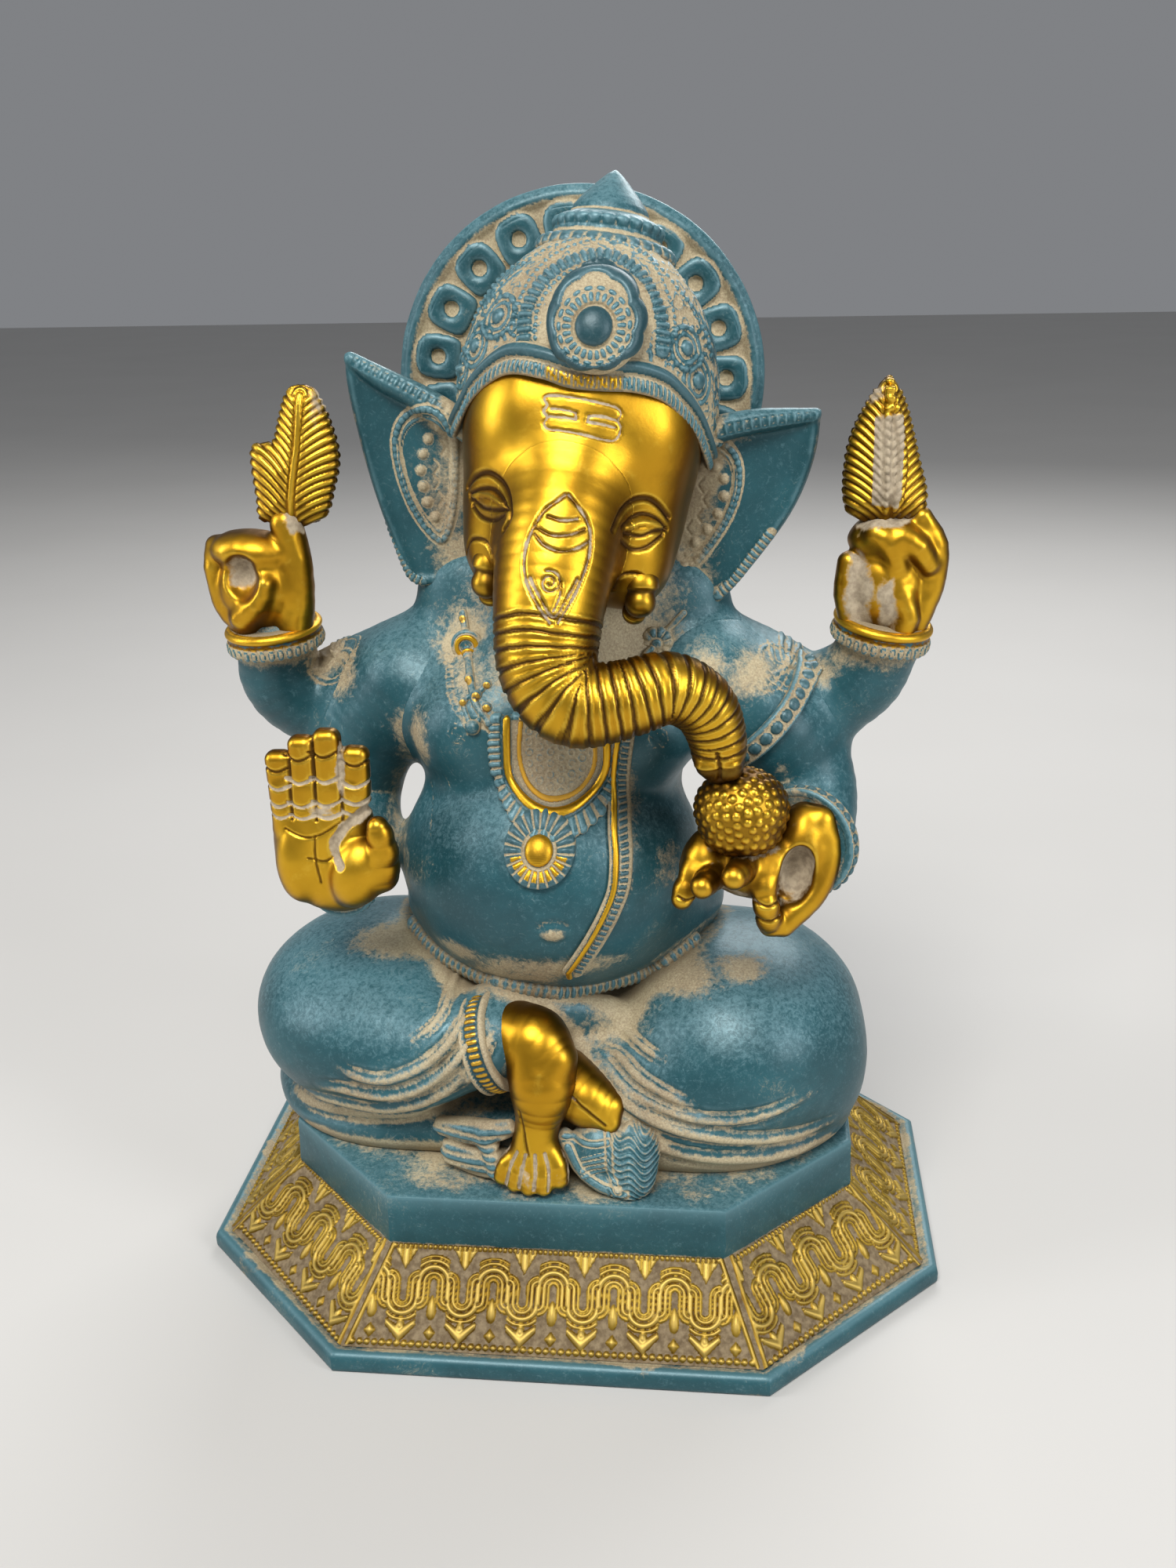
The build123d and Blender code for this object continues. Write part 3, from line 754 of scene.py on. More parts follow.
SOLID["rear_right_hand"] = less(union([
    egg((-78.5, -4, 183), (11.2, 8.8, 11.8)),
    egg((-79.5, -5, 192.5), (11.0, 7.6, 5.4), (0, 4, 0)),
    limb([(-89.5, -4, 193.5), (-90, -4.5, 188), (-88, -5, 178), (-82, -7, 173)], [2.6, 2.9, 3.0, 3.6]),
    limb([(-70.5, -5, 172), (-68.5, -6, 180), (-68.0, -6, 190), (-70, -5.5, 199.5)], [4.8, 4.2, 3.9, 4.2]),
    limb([(-82, -10, 176), (-78, -11.5, 180), (-75.5, -11.5, 185)], [3.4, 3.2, 2.6]),
], 1.8), egg((-81.5, -15, 187), (5.4, 7.5, 6.2)), 1.4)
SOLID["rear_left_hand"] = union([
    egg((79.8, -3.5, 184), (9.8, 8.4, 12.0)),
    egg((80.5, -4, 195.5), (10.6, 7.6, 6.5)),
    limb([(72.5, -5, 174), (70.2, -6, 182), (70.4, -6, 190)], [3.4, 3.3, 2.8]),
    limb([(86.5, -5, 174), (90.0, -5, 184), (90.8, -5, 194), (87.2, -6, 201)], [3.6, 3.6, 3.2, 2.6]),
    limb([(76.6, -9, 197.4), (79.5, -10, 195.4), (81.5, -9.5, 190)], [3.2, 3.0, 2.4]),
    limb([(82.5, -9.5, 197), (86.2, -9.5, 194.4), (89.2, -8.0, 190)], [2.8, 2.8, 2.6]),
    limb([(83.5, -9.5, 182), (85.0, -9.5, 177), (83, -8.5, 172.5)], [2.6, 2.7, 3.0]),
], 1.6)

LEAF = [(-75.5, 200), (-76.8, 206), (-77.0, 218.4), (-71.6, 219.4), (-69.5, 225), (-67.2, 231),
        (-64.2, 233.2), (-60.6, 232.2), (-57.4, 226), (-55.4, 217), (-57.0, 209), (-61.5, 200)]
BUD = [(69.2, 203), (68.4, 211), (69.6, 220), (73.4, 228.5), (76.4, 232.6), (78.2, 234.0), (80.2, 231.4),
       (82.6, 226), (85.4, 216), (88.0, 205), (84, 200), (74, 200)]


def slab(outline, y, thick, dome_k):
    """A cut plate with a pillowed front and back."""
    line = spline(outline, 2.0, closed=True)[:-1]

    def f(p):
        edge = polygon_distance(p[..., 0], p[..., 2], line)
        swell = thick * np.sqrt(np.clip(-edge / dome_k, 0.05, 1.0))
        return smax(edge, (np.abs(p[..., 1] - y) - swell) * 0.8, 0.8)

    (x0, z0), (x1, z1) = line.min(0), line.max(0)
    return Field(f, (x0, y - thick - 1, z0), (x1, y + thick + 1, z1))


SOLID["right_hand_leaf"] = slab(LEAF, -5, 4.0, 7.0)
SOLID["left_hand_bud"] = slab(BUD, -5, 5.6, 8.0)


# ------------------------------ cuffs and bands

def band(c, axis, radius, height):
    """A turned band round a limb."""
    c, a = floats(c), np.asarray(axis, float)
    a = floats(a / np.linalg.norm(a))

    def f(p):
        q = p - c
        t = q @ a
        r = np.sqrt(np.maximum((q * q).sum(-1) - t * t, 0))
        return smax(r - radius, np.abs(t) - height / 2, 0.9)

    reach = radius + height
    return Field(f, c - reach, c + reach)


BANDS = {
    "rear_right_cuff": ((-77.0, -1.5, 169.8), (-0.06, -0.1, 1.0), 12.2, 6.6),
    "rear_left_cuff": ((79.4, -1.5, 172.2), (0.16, -0.1, 1.0), 12.0, 6.6),
    "front_right_bracelet": ((-55.2, -33.0, 114.0), (0.0, -1.0, 0.10), 9.0, 4.4),
    "front_left_bracelet": ((60.6, -31.0, 126.5), (-0.5, -1.0, 0.1), 13.4, 4.0),
    "left_armlet": ((49.5, -2.0, 150.5), (0.62, 0.1, -0.6), 15.6, 5.2),
    "anklet": ((-17.0, -42.0, 73.5), (1.0, -0.12, 0.35), 12.4, 6.4),
}
for part, sizes in BANDS.items():
    SOLID[part] = band(*sizes)


def wrap(limb_field, c, axis, height, thick):
    """A band of even thickness following the limb it goes round."""
    c, a = floats(c), np.asarray(axis, float)
    a = floats(a / np.linalg.norm(a))

    def f(p):
        d = limb_field(p)
        return smax(smax(d - thick, -d - 0.8, 0.0), np.abs((p - c) @ a) - height / 2, 0.7)

    return Field(f, c - 22, c + 22)


ARMLET = BANDS["left_armlet"]
SOLID["left_armlet"] = wrap(culled(SOLID["front_left_arm"]), ARMLET[0], ARMLET[1], ARMLET[3], 1.3)


# ------------------------------ feet, mouse, cloth end

SOLID["right_foot"] = above(union([
    limb([(-12, -41.5, 75.5), (-5.5, -45, 76.0), (-0.5, -48.5, 73.5)], [9.2, 8.6, 6.2]),
    limb([(-5.5, -45, 76), (-3.4, -49, 67), (-4.5, -50, 57), (-6.0, -51.2, 49)], [8.4, 8.6, 6.0, 5.6]),
    egg((-3.0, -45, 66), (8.5, 7, 12)),
    limb([(-6.5, -51, 49), (-12.4, -52.5, 44.5), (-14.0, -53.2, 41.0)], [3.6, 2.7, 2.2]),
    limb([(-6.2, -51.5, 49), (-9.6, -54, 43.5), (-10.6, -54.6, 40.0)], [3.6, 2.6, 2.1]),
    limb([(-5.8, -51.5, 49), (-6.4, -55, 43.0), (-6.8, -55.6, 39.8)], [3.6, 2.7, 2.2]),
    limb([(-5.0, -51.5, 49), (-3.4, -55, 43.4), (-3.0, -55.6, 40.0)], [3.6, 2.8, 2.3]),
    limb([(-4.0, -51.0, 51), (0.0, -53.5, 45.5), (0.8, -54.2, 41.8)], [3.6, 3.2, 2.6]),
], 1.4), SEAT, 0.4)
SOLID["left_foot"] = union([
    limb([(1.0, -42, 63), (6.5, -45.0, 61), (13.0, -46.6, 59.2)], [8.6, 7.4, 4.2]),
    egg((8.5, -47.0, 57.5), (6.4, 4.2, 5.0), (0, 18, 0)),
    limb([(3.0, -44, 66), (8.0, -48, 61.5), (13.6, -49.4, 55.8)], [3.2, 3.4, 2.6]),
], 2.0)
SOLID["mouse"] = above(union([
    egg((18.8, -47.5, 46.5), (7.2, 8.5, 9.5), (16, 12, 0)),
    egg((19.5, -51.0, 42.0), (5.6, 6.2, 6.4)),
    egg((11.0, -47.5, 48.0), (7.5, 7.5, 8.0), (0, -28, 0)),
    limb([(2.0, -50, 52), (6.0, -51.5, 44.5), (12.0, -53.2, 40.2), (18.0, -54.0, 39.2)],
         [2.0, 2.4, 2.6, 2.2]),
    limb([(13.5, -44, 58), (14.4, -46.5, 54)], [2.2, 2.6]),
    egg((12.0, -42, 43), (11, 9, 8)),
], 2.0), SEAT, 0.4)
SOLID["cloth_end"] = above(union([
    limb([(-31, -43.5, 49.0), (-24, -46.5, 50.0), (-17.5, -49, 51.5), (-12, -50, 53.5)],
         [2.4, 3.2, 3.2, 2.2]),
    limb([(-18.5, -49.5, 50), (-16.5, -51.0, 45.0), (-15.8, -52.0, 41)], [2.6, 2.4, 1.8]),
    limb([(-27, -43.5, 42), (-18, -47, 41.5), (-11, -49, 42)], [4.6, 4.6, 3.6]),
], 1.6), SEAT, 0.4)


# ============================== details

FACE = union([culled(SOLID["head"]), culled(SOLID["trunk"])])
TRUNK_PATH = spline(TRUNK_LINE, 0.8)
TORSO = culled(SOLID["torso"])
LEGS = SOLID["crossed_legs"]


LAID = {}


def lay(field, pairs, closed=False, step=0.8):
    """A smooth line through (x, z) pairs, laid on the front of a surface."""
    key = (id(field), tuple(pairs), closed, step)
    if key not in LAID:
        flat = spline([(x, 0.0, z) for x, z in pairs], step, closed)
        LAID[key] = drop(field, flat[:, [0, 2]])
    return LAID[key]


def smooth(x, a, b):
    """Goes from 0 at a to 1 at b without a kink."""
    t = np.clip((x - a) / (b - a), 0, 1)
    return t * t * (3 - 2 * t)


def swell(s, c, r, height):
    """A soft rise round a point."""
    d = np.sqrt((((s.p - floats(c)) / floats(r)) ** 2).sum(1))
    s.h += height * bump(d)


def eyes(s):
    """Swollen lids with the lines of lid, lash and brow."""
    fine = dict(width=0.75, depth=0.55, wash=0.25, dark=1.0)
    heavy = dict(width=1.0, depth=0.8, wash=0.1, dark=1.0)
    swell(s, (-12.6, -35, 209.5), (5.5, 6, 3.6), 0.9)
    swell(s, (22.2, -32, 203.4), (5.5, 6, 3.6), 0.9)
    for pairs in ([(-20, 211.5), (-17.5, 214.5), (-14, 216), (-10.5, 215), (-8, 212.5), (-7, 208.5),
                   (-8.5, 205.5)],
                  [(15.8, 205), (17.5, 208.5), (20, 210.2), (23, 210), (25.5, 208), (27.5, 205)]):
        s.groove(lay(FACE, pairs), **heavy)
    for pairs in ([(-19, 210.5), (-16, 212.2), (-12.5, 212.8), (-9.7, 211.5), (-8, 209.5)],
                  [(-18.8, 209.8), (-15, 208.4), (-11.5, 208.5), (-8.3, 209.6)],
                  [(-18, 208.2), (-15.5, 206.4), (-12, 206.2), (-8.8, 208.3)],
                  [(17.5, 204.8), (19.5, 206.4), (22, 206.8), (25, 205.2), (27, 202.5)],
                  [(17.9, 203.2), (21, 201.9), (24, 202.6), (27, 202.4)],
                  [(17.4, 201.6), (19.3, 199.2), (22.6, 199.2), (26.2, 201.4)]):
        s.groove(lay(FACE, pairs), **fine)
    s.ridge(lay(FACE, [(-18, 210.2), (-15.5, 211), (-12.3, 211.2), (-9.5, 210.4)]), 0.7, 0.45)
    s.ridge(lay(FACE, [(18.6, 204.2), (21, 205), (24, 204.3), (26, 203)]), 0.7, 0.45)


def forehead_mark(s):
    """A scalloped outline with short bars inside it."""
    mark = [(1, 233.3), (5, 233.1), (9, 232.5), (13, 231.6), (16.3, 230.5), (17.2, 229.2), (16.5, 227.8),
            (17.1, 226.4), (16.8, 224.8), (15.5, 223.6), (12.5, 224.2), (9, 225.2), (5, 226), (1, 226.4),
            (0.1, 227.6), (0.9, 228.8), (0, 230.1), (0.8, 231.3), (0.1, 232.6)]
    thin = dict(width=0.5, depth=0.3, wash=0.85, dark=0.35)
    s.groove(lay(FACE, mark, closed=True, step=0.6), **thin)
    for pairs in ([(1.8, 230.6), (4.5, 230.4), (7.2, 229.8)], [(10.2, 229.1), (13.3, 228.8), (16.2, 227.9)],
                  [(1.5, 229), (4.3, 228.8), (7.2, 228.4)], [(10, 227.8), (13.3, 227.1), (16, 226.3)],
                  [(7.2, 229.8), (7.4, 228.4)], [(10.2, 229.1), (9.8, 227.8)]):
        s.groove(lay(FACE, pairs, step=0.5), **thin)


def trunk_mark(s):
    """A pointed oval at the root of the trunk, with bars over a small curl."""
    for pairs in ([(5.6, 213.4), (3.4, 212), (1.2, 210.5), (-0.6, 208), (-2, 205.3), (-2.9, 202), (-3, 199),
                   (-2.2, 196), (0.2, 192), (3.2, 188)],
                  [(6.4, 213.4), (8.6, 211), (10.6, 208), (11.5, 204.3), (11.1, 200), (9.7, 196),
                   (7.5, 191.8), (5, 188)],
                  [(-1.4, 197), (0.8, 193.4), (3.9, 189.2), (6.6, 192.5), (9, 196.5)]):
        s.groove(lay(FACE, pairs), 0.65, 0.5, 0.7, 0.75)
    for pairs in ([(2, 209.4), (5.2, 208.5), (8.6, 208.6)],
                  [(-0.5, 207.2), (3, 205.7), (7, 205.6), (10.2, 206.4)],
                  [(-0.9, 206), (1.7, 203.6), (5.5, 202.4), (9.2, 202.9), (11.2, 203.9)]):
        s.groove(lay(FACE, pairs), 0.6, 0.45, 0.55, 0.8)
    curl = []
    for step in range(34):
        turn = step * 0.33
        reach = 2.5 - 0.062 * step
        curl.append((3.0 + reach * math.cos(1.9 - turn), 196.2 + reach * math.sin(1.9 - turn)))
    s.groove(lay(FACE, curl[::-1], step=0.5), 0.5, 0.4, 0.75, 0.6)
    s.groove(lay(FACE, [(5.3, 196.5), (5.4, 194), (4.6, 191.6), (3.9, 190.4)]), 0.55, 0.45, 0.7, 0.6)


def face(s):
    """All the chased lines of the brass face, with a crease over each tusk."""
    eyes(s)
    forehead_mark(s)
    trunk_mark(s)
    for x, z, flip in ((-15.5, 198.5, -1), (18.5, 190.5, 1)):
        s.groove(lay(FACE, [(x - 3.4 * flip, z - 1), (x - 1.5 * flip, z + 2.6), (x + 2.6 * flip, z + 2.4),
                            (x + 4.6 * flip, z - 1.5)]), 0.7, 0.6, 0.3, 0.9)


def trunk_rings(s):
    """Rings cut across the trunk, and the lips at its tip."""
    run = to_path(s.p, TRUNK_PATH, 20)[1]
    start = 43.5
    wobble = 0.35 * hash_noise(s.p, 9.0, 3) + 0.12 * hash_noise(s.p, 2.5, 5)
    x = np.mod(run + wobble - start, 2.9) - 1.45
    grow = smooth(run, start - 1.0, start + 0.5)
    depth = 0.62 - 0.12 * smooth(run, 70, 100)
    cut = bump(x / 0.62) * grow
    s.h -= depth * cut
    s.h += 0.22 * np.cos(x / 2.9 * PI) * grow
    s.lift(dark=0.95 * bump(x / 0.75) * grow)
    s.lift(wash=0.25 * cut * (hash_noise(s.p, 6.0, 8) > 0.1))
    tip = floats((40.0, -45.0, 152.0))
    swell(s, tip + floats((-3.6, -1.0, -1.5)), (3.2, 4, 3.0), 1.2)
    swell(s, tip + floats((3.2, 0.0, -2.2)), (3.4, 4, 3.4), 1.3)
    s.groove(lay(FACE, [(39.5, 155), (40.2, 151), (40.0, 147.5)]), 0.8, 0.7, 0.1, 0.9)


def tusk_rings(s):
    side = -1 if s.p[:, 0].mean() < 5 else 1
    r = s.distance(head_points((side * 18.0, -20.5, -23.5))[0])
    s.h -= 0.35 * bump((r - 4.3) / 0.8)
    s.lift(dark=0.9 * bump((r - 4.3) / 0.9))
    s.h += 0.10 * hash_noise(s.p, 2.6, 21)


EAR_LINES = {
    -1: dict(
        loop=[(-41.5, 219.5), (-39, 224.8), (-33.5, 227.4), (-29, 226), (-26.8, 221), (-27, 212),
              (-28.2, 202), (-31, 194.5), (-35, 197.5), (-38.7, 204), (-41, 212)],
        dots=[(-30.5, 222.8), (-33.3, 219.6), (-34.9, 216), (-35.7, 212), (-35.3, 208), (-34.4, 204),
              (-32.6, 200.2)],
        creases=[(-30.3, 217.5), (-32.2, 213), (-32.4, 209), (-31.5, 205), (-29.8, 201.5)],
        fold=[(-26, 226.5), (-34, 231), (-43, 235.5), (-51, 239)],
        hem=[(-46.5, 201), (-43.5, 192.5), (-40.5, 186), (-37, 183.8)],
        middle=(-34, 211), bowl=(-30, -2, 205), lobe=(-27, 0, 190)),
    1: dict(
        loop=[(29, 215), (33.5, 218.6), (38.5, 218.6), (42.3, 215), (43.2, 209), (41.3, 201.5), (37, 194),
              (33, 189), (29.5, 188)],
        dots=[(34.2, 213), (37.4, 212.4), (39.6, 209.6), (39.8, 205.4), (38.2, 201), (35.6, 197),
              (32.6, 193.8)],
        creases=[(31.5, 209.5), (34.5, 208), (35.6, 204.5), (34.2, 200.5), (31.6, 197.5)],
        fold=[(33, 220.5), (42, 222.6), (51, 224), (60, 224.6)],
        hem=[(38.5, 181), (42.5, 184.5), (47, 190.5), (51.5, 196.5)],
        middle=(36, 205), bowl=(33, -2, 200), lobe=(31, 0, 186)),
}


def ear_skin(side):
    """A roped loop with a second line and dots inside it, ticks along the fold and ribs along the hem."""
    lines = EAR_LINES[side]
    shrink = 0.86

    def work(s):
        field = SOLID["right_ear" if side < 0 else "left_ear"]
        front = smooth(-s.n[:, 1], 0.1, 0.4)
        loop = lay(field, lines["loop"], closed=side < 0)
        s.ridge(loop, 0.85, 0.55, wash=0.9)
        s.ribs(loop, 1.1, 1.7, 0.25)
        mx, mz = lines["middle"]
        inside = [(x * shrink + mx * (1 - shrink), z * shrink + mz * (1 - shrink)) for x, z in lines["loop"]]
        s.ridge(lay(field, inside, closed=side < 0), 0.45, 0.35, wash=0.7)
        for x, z in lines["dots"]:
            c = spot(field, x, z)
            s.dot(c, 1.15, 0.75)
            s.lift(wash=0.95 * (s.distance(c) < 1.15))
        for x, z in lines["creases"]:
            s.groove(lay(field, [(x, z + 1.6), (x - 1.2 * side, z), (x, z - 1.8)]), 0.4, 0.3, 0.9)
        ticks = lay(field, lines["fold"])
        s.ribs(ticks, 1.5, 2.1, -0.35)
        s.lift(wash=0.3 * bump(to_path(s.p, ticks, 6)[0] / 3.0))
        s.ribs(lay(field, lines["hem"]), 1.6, 1.5, 0.4, wash=0.8)
        s.stain(lines["bowl"], (9, 12, 24), 0.62)
        s.stain(lines["lobe"], (9, 12, 10), 0.8)
        s.wash *= 0.35 + 0.65 * front
    return work


def crown_frame(s):
    """Head axes, the height over the crown's edge, and the run round it."""
    q = head_local(s.p)
    return q, crown_cut(q), np.arctan2(q[:, 0], -q[:, 1]) * 28.0


def band_skin(s):
    """The crown's lower edge: a bead, a groove and a row of ticks, gilt in the middle."""
    q, c, run = crown_frame(s)
    outside = dome(q) > 0.4
    s.h += 1.0 * bump((c - 1.9) / 1.5) * outside
    s.h -= 0.5 * bump((c - 0.1) / 0.55) * outside
    ticks = (0.5 + 0.5 * np.cos(2 * PI * run / 1.25)) * bump((c + 1.6) / 1.7)
    s.h += 0.65 * np.sqrt(ticks) * outside
    s.wash = np.clip(0.95 - 1.1 * np.sqrt(ticks), 0, 1) * (c < 0.6) * outside
    s.lift(wash=0.9 * bump((c - 3.6) / 0.7))
    s.dark = 0.65 * bump((c - 1.9) / 1.7)
    s.gold = (np.sqrt(ticks) > 0.45) * (c < 0.2) * (np.abs(q[:, 0] + 1.0) < 8.5) * 1.0
    s.lift(dark=0.5 * (c < 0.2) * (np.sqrt(ticks) < 0.4) * (np.abs(q[:, 0] + 1.0) < 9))


def radial(s, c, spokes, r0, r1, height):
    """Short ribs standing round a point, seen from the front."""
    dx, dz = s.p[:, 0] - c[0], s.p[:, 2] - c[1]
    r = np.sqrt(dx * dx + dz * dz)
    angle = np.arctan2(dz, dx)
    zone = bump((r - (r0 + r1) / 2) / ((r1 - r0) / 2 + 0.2)) ** 0.5
    s.h += height * ribbed(spokes * angle) * zone * (s.n[:, 1] < 0.3)
    return r, angle


EMBLEM = (11.6, 248.0)


def emblem(s):
    """The jewel at the front of the crown: cabochon, roped ring, pearls and a scalloped cloud border."""
    r, angle = radial(s, EMBLEM, 26, 4.9, 6.9, 0.65)
    s.h += 1.7 * rounded(r / 4.1)
    s.h -= 0.45 * bump((r - 4.5) / 0.5)
    s.h += 0.65 * ribbed(18 * angle) * bump((r - 7.6) / 0.75)
    tall = 1.0 + 0.24 * np.clip(np.sin(angle), 0, 1) ** 3 - 0.18 * np.clip(-np.sin(angle), 0, 1) ** 2
    lobes = 9.1 * tall + 0.65 * np.abs(np.sin(4.5 * (angle - PI / 2) + PI / 2))
    cloud = np.clip(1 - ((r - lobes) / 1.15) ** 2, 0, 1) ** 0.3 * (r > 8.0)
    s.h += 1.1 * cloud
    return r, cloud


def emblem_on_front(s):
    keep = s.h.copy()
    cloud = emblem(s)[1]
    back = s.n[:, 1] > 0
    s.h[back] = keep[back]
    return cloud * ~back


def crown_skin(s):
    """An arch of ribs and beads round the jewel, with rosettes, rows of beads and leaves."""
    q, level, run = crown_frame(s)
    field = SOLID["crown"]
    arch = lay(field, [(-4.5, 243.5), (-4.2, 250), (-2, 255), (2, 259), (7.5, 261.4), (12, 262), (16, 261),
                       (20.5, 257.8), (23.6, 253), (25.6, 248), (25.6, 242)])
    s.ribs(arch, 1.9, 1.75, 0.95)
    s.ridge(arch, 2.0, 0.35)
    for pairs in ([(-6.8, 243), (-6.6, 250), (-4.6, 256), (-0.5, 261), (5, 264), (11.5, 265), (18, 263.4),
                   (23, 260), (26.2, 254.6), (28.2, 249), (28.4, 243)],
                  [(-1.9, 243), (-1.8, 250), (0.2, 254.4), (3.6, 257.8), (8, 259.6), (12, 260), (15.4, 259.2),
                   (19, 256.2), (21.6, 252), (23.2, 247.6), (23.2, 241.5)]):
        s.beads(lay(field, pairs), 1.5, 0.62, 0.6)
    for pairs in ([(-19, 247), (-14.5, 253), (-8.5, 258.4), (-2, 262.8), (4.5, 265)],
                  [(18.5, 264), (25, 258.6), (30.4, 252), (34.2, 245.4), (36.2, 239)],
                  [(-18, 250), (-12, 257), (-6, 261.4)], [(27.5, 259), (32, 253.5), (35.5, 247)]):
        s.beads(lay(field, pairs), 1.7, 0.7, 0.7)
    for x, z, r in ((-11.0, 249.5, 2.0), (-17.0, 243.0, 1.9), (-21.0, 237.5, 1.3), (31.0, 242.0, 1.9),
                    (33.6, 234.8, 2.2)):
        p0 = spot(field, x, z)
        s.dot(p0, r, 1.5)
        s.ring(p0, r + 1.2, 0.6, 0.5)
        s.ring(p0, r + 2.9, 0.75, 0.6)
    radial(s, (-11.0, 249.5), 16, 3.4, 5.6, 0.5)
    radial(s, (31.0, 242.0), 14, 3.2, 5.0, 0.45)
    for row, height in ((7.0, 0.55), (13.5, 0.6), (20.0, 0.55)):
        beads = np.sqrt((np.mod(run, 2.0) - 1.0) ** 2 + (level - row) ** 2)
        s.h += (q[:, 1] > -4) * height * rounded(beads / 0.85)
    for row, height in ((10.2, 0.55), (17.0, 0.5)):
        lobe = np.mod(run, 6.0) - 3.0
        petal = np.abs(level - row - 1.3 + 0.22 * lobe * lobe)
        s.h += (q[:, 1] > -4) * height * rounded(petal / 0.7)
    leafy = np.abs(hash_noise(s.p, 1.9, 21)) * 1.5
    s.h += 0.42 * np.clip(1 - leafy * 2.4, 0, 1) * (s.h < 0.12)
    top = smooth(level, 28, 30)
    s.h += top * 0.5 * ribbed(2 * PI * run / 4.0)
    jewel = np.sqrt((s.p[:, 0] - EMBLEM[0]) ** 2 + (s.p[:, 2] - EMBLEM[1]) ** 2) < 12.2
    s.h[jewel & (s.n[:, 1] < 0)] = 0
    cloud = emblem_on_front(s)
    s.wash = 0.98 - 0.93 * smooth(s.h, 0.16, 0.42)
    s.dark = np.clip(0.25 * smooth(s.h, 0.5, 1.0) + 0.8 * cloud, 0, 1)


def medallion_skin(s):
    r, cloud = emblem(s)
    s.wash = 0.98 - 0.98 * smooth(s.h, 0.2, 0.4)
    s.dark = np.clip(0.85 * cloud + 0.9 * (r < 4.1), 0, 1)


def finial_skin(s):
    """Two ribbed rings under a plain cone."""
    q = (head_local(s.p) - floats((0, 15.0, 48.3))) @ floats(euler(-12, 0, 0))
    angle = np.arctan2(q[:, 0], -q[:, 1])
    z = q[:, 2]
    low = bump((z - 2.2) / 2.4)
    high = bump((z - 7.2) / 2.4)
    ribs = ribbed(30 * angle)
    s.h += 0.75 * ribs * low + 0.6 * ribbed(24 * angle) * high
    s.wash = np.clip(0.85 * (1 - ribs) * low + 0.8 * bump((z - 4.8) / 0.9) + 0.8 * bump((z - 10.4) / 0.55),
                     0, 1)
    s.dark = 0.5 * low * ribs


def halo_skin(s):
    """Raised links round the front, fine rays inside them, and turned rings at the back."""
    q = (s.p - HALO_C) @ HALO_M
    r = np.sqrt(q[:, 0] ** 2 + q[:, 2] ** 2)
    angle = np.arctan2(q[:, 2], q[:, 0])
    count = 19
    cell = np.mod(angle * count / (2 * PI) + 0.5, 1.0) - 0.5
    a = cell * 2 * PI / count * np.maximum(r, 30)
    b = r - 36.8
    box4 = (np.abs(a / 5.75) ** 3.2 + np.abs(b / 6.1) ** 3.2) ** (1 / 3.2)
    hole = np.sqrt(a * a + b * b)
    front = (s.n[:, 1] < -0.3) & (r < 43)
    donut = smooth(1 - box4, 0.0, 0.08) * smooth(hole, 1.5, 2.2)
    s.h += 1.0 * donut * front
    s.h += 0.55 * smooth(1 - box4, 0.0, 0.30) * smooth(hole, 1.8, 3.6) * front
    s.h -= 0.3 * (1 - smooth(hole, 1.4, 2.2)) * front
    s.wash = np.where(front, 0.98 - 0.98 * donut, 0.06)
    s.lift(wash=0.5 * bump((r - 43.2) / 0.9) * (s.n[:, 1] < 0))
    rays = 0.5 + 0.5 * np.cos(angle * 60)
    s.h += 0.3 * rays * front * (r < 29)
    back = s.n[:, 1] > 0.3
    for ring_r in (24.0, 32.0, 40.0):
        s.h -= 0.25 * bump((r - ring_r) / 0.7) * back
        s.lift(wash=0.75 * bump((r - ring_r) / 0.9) * back)


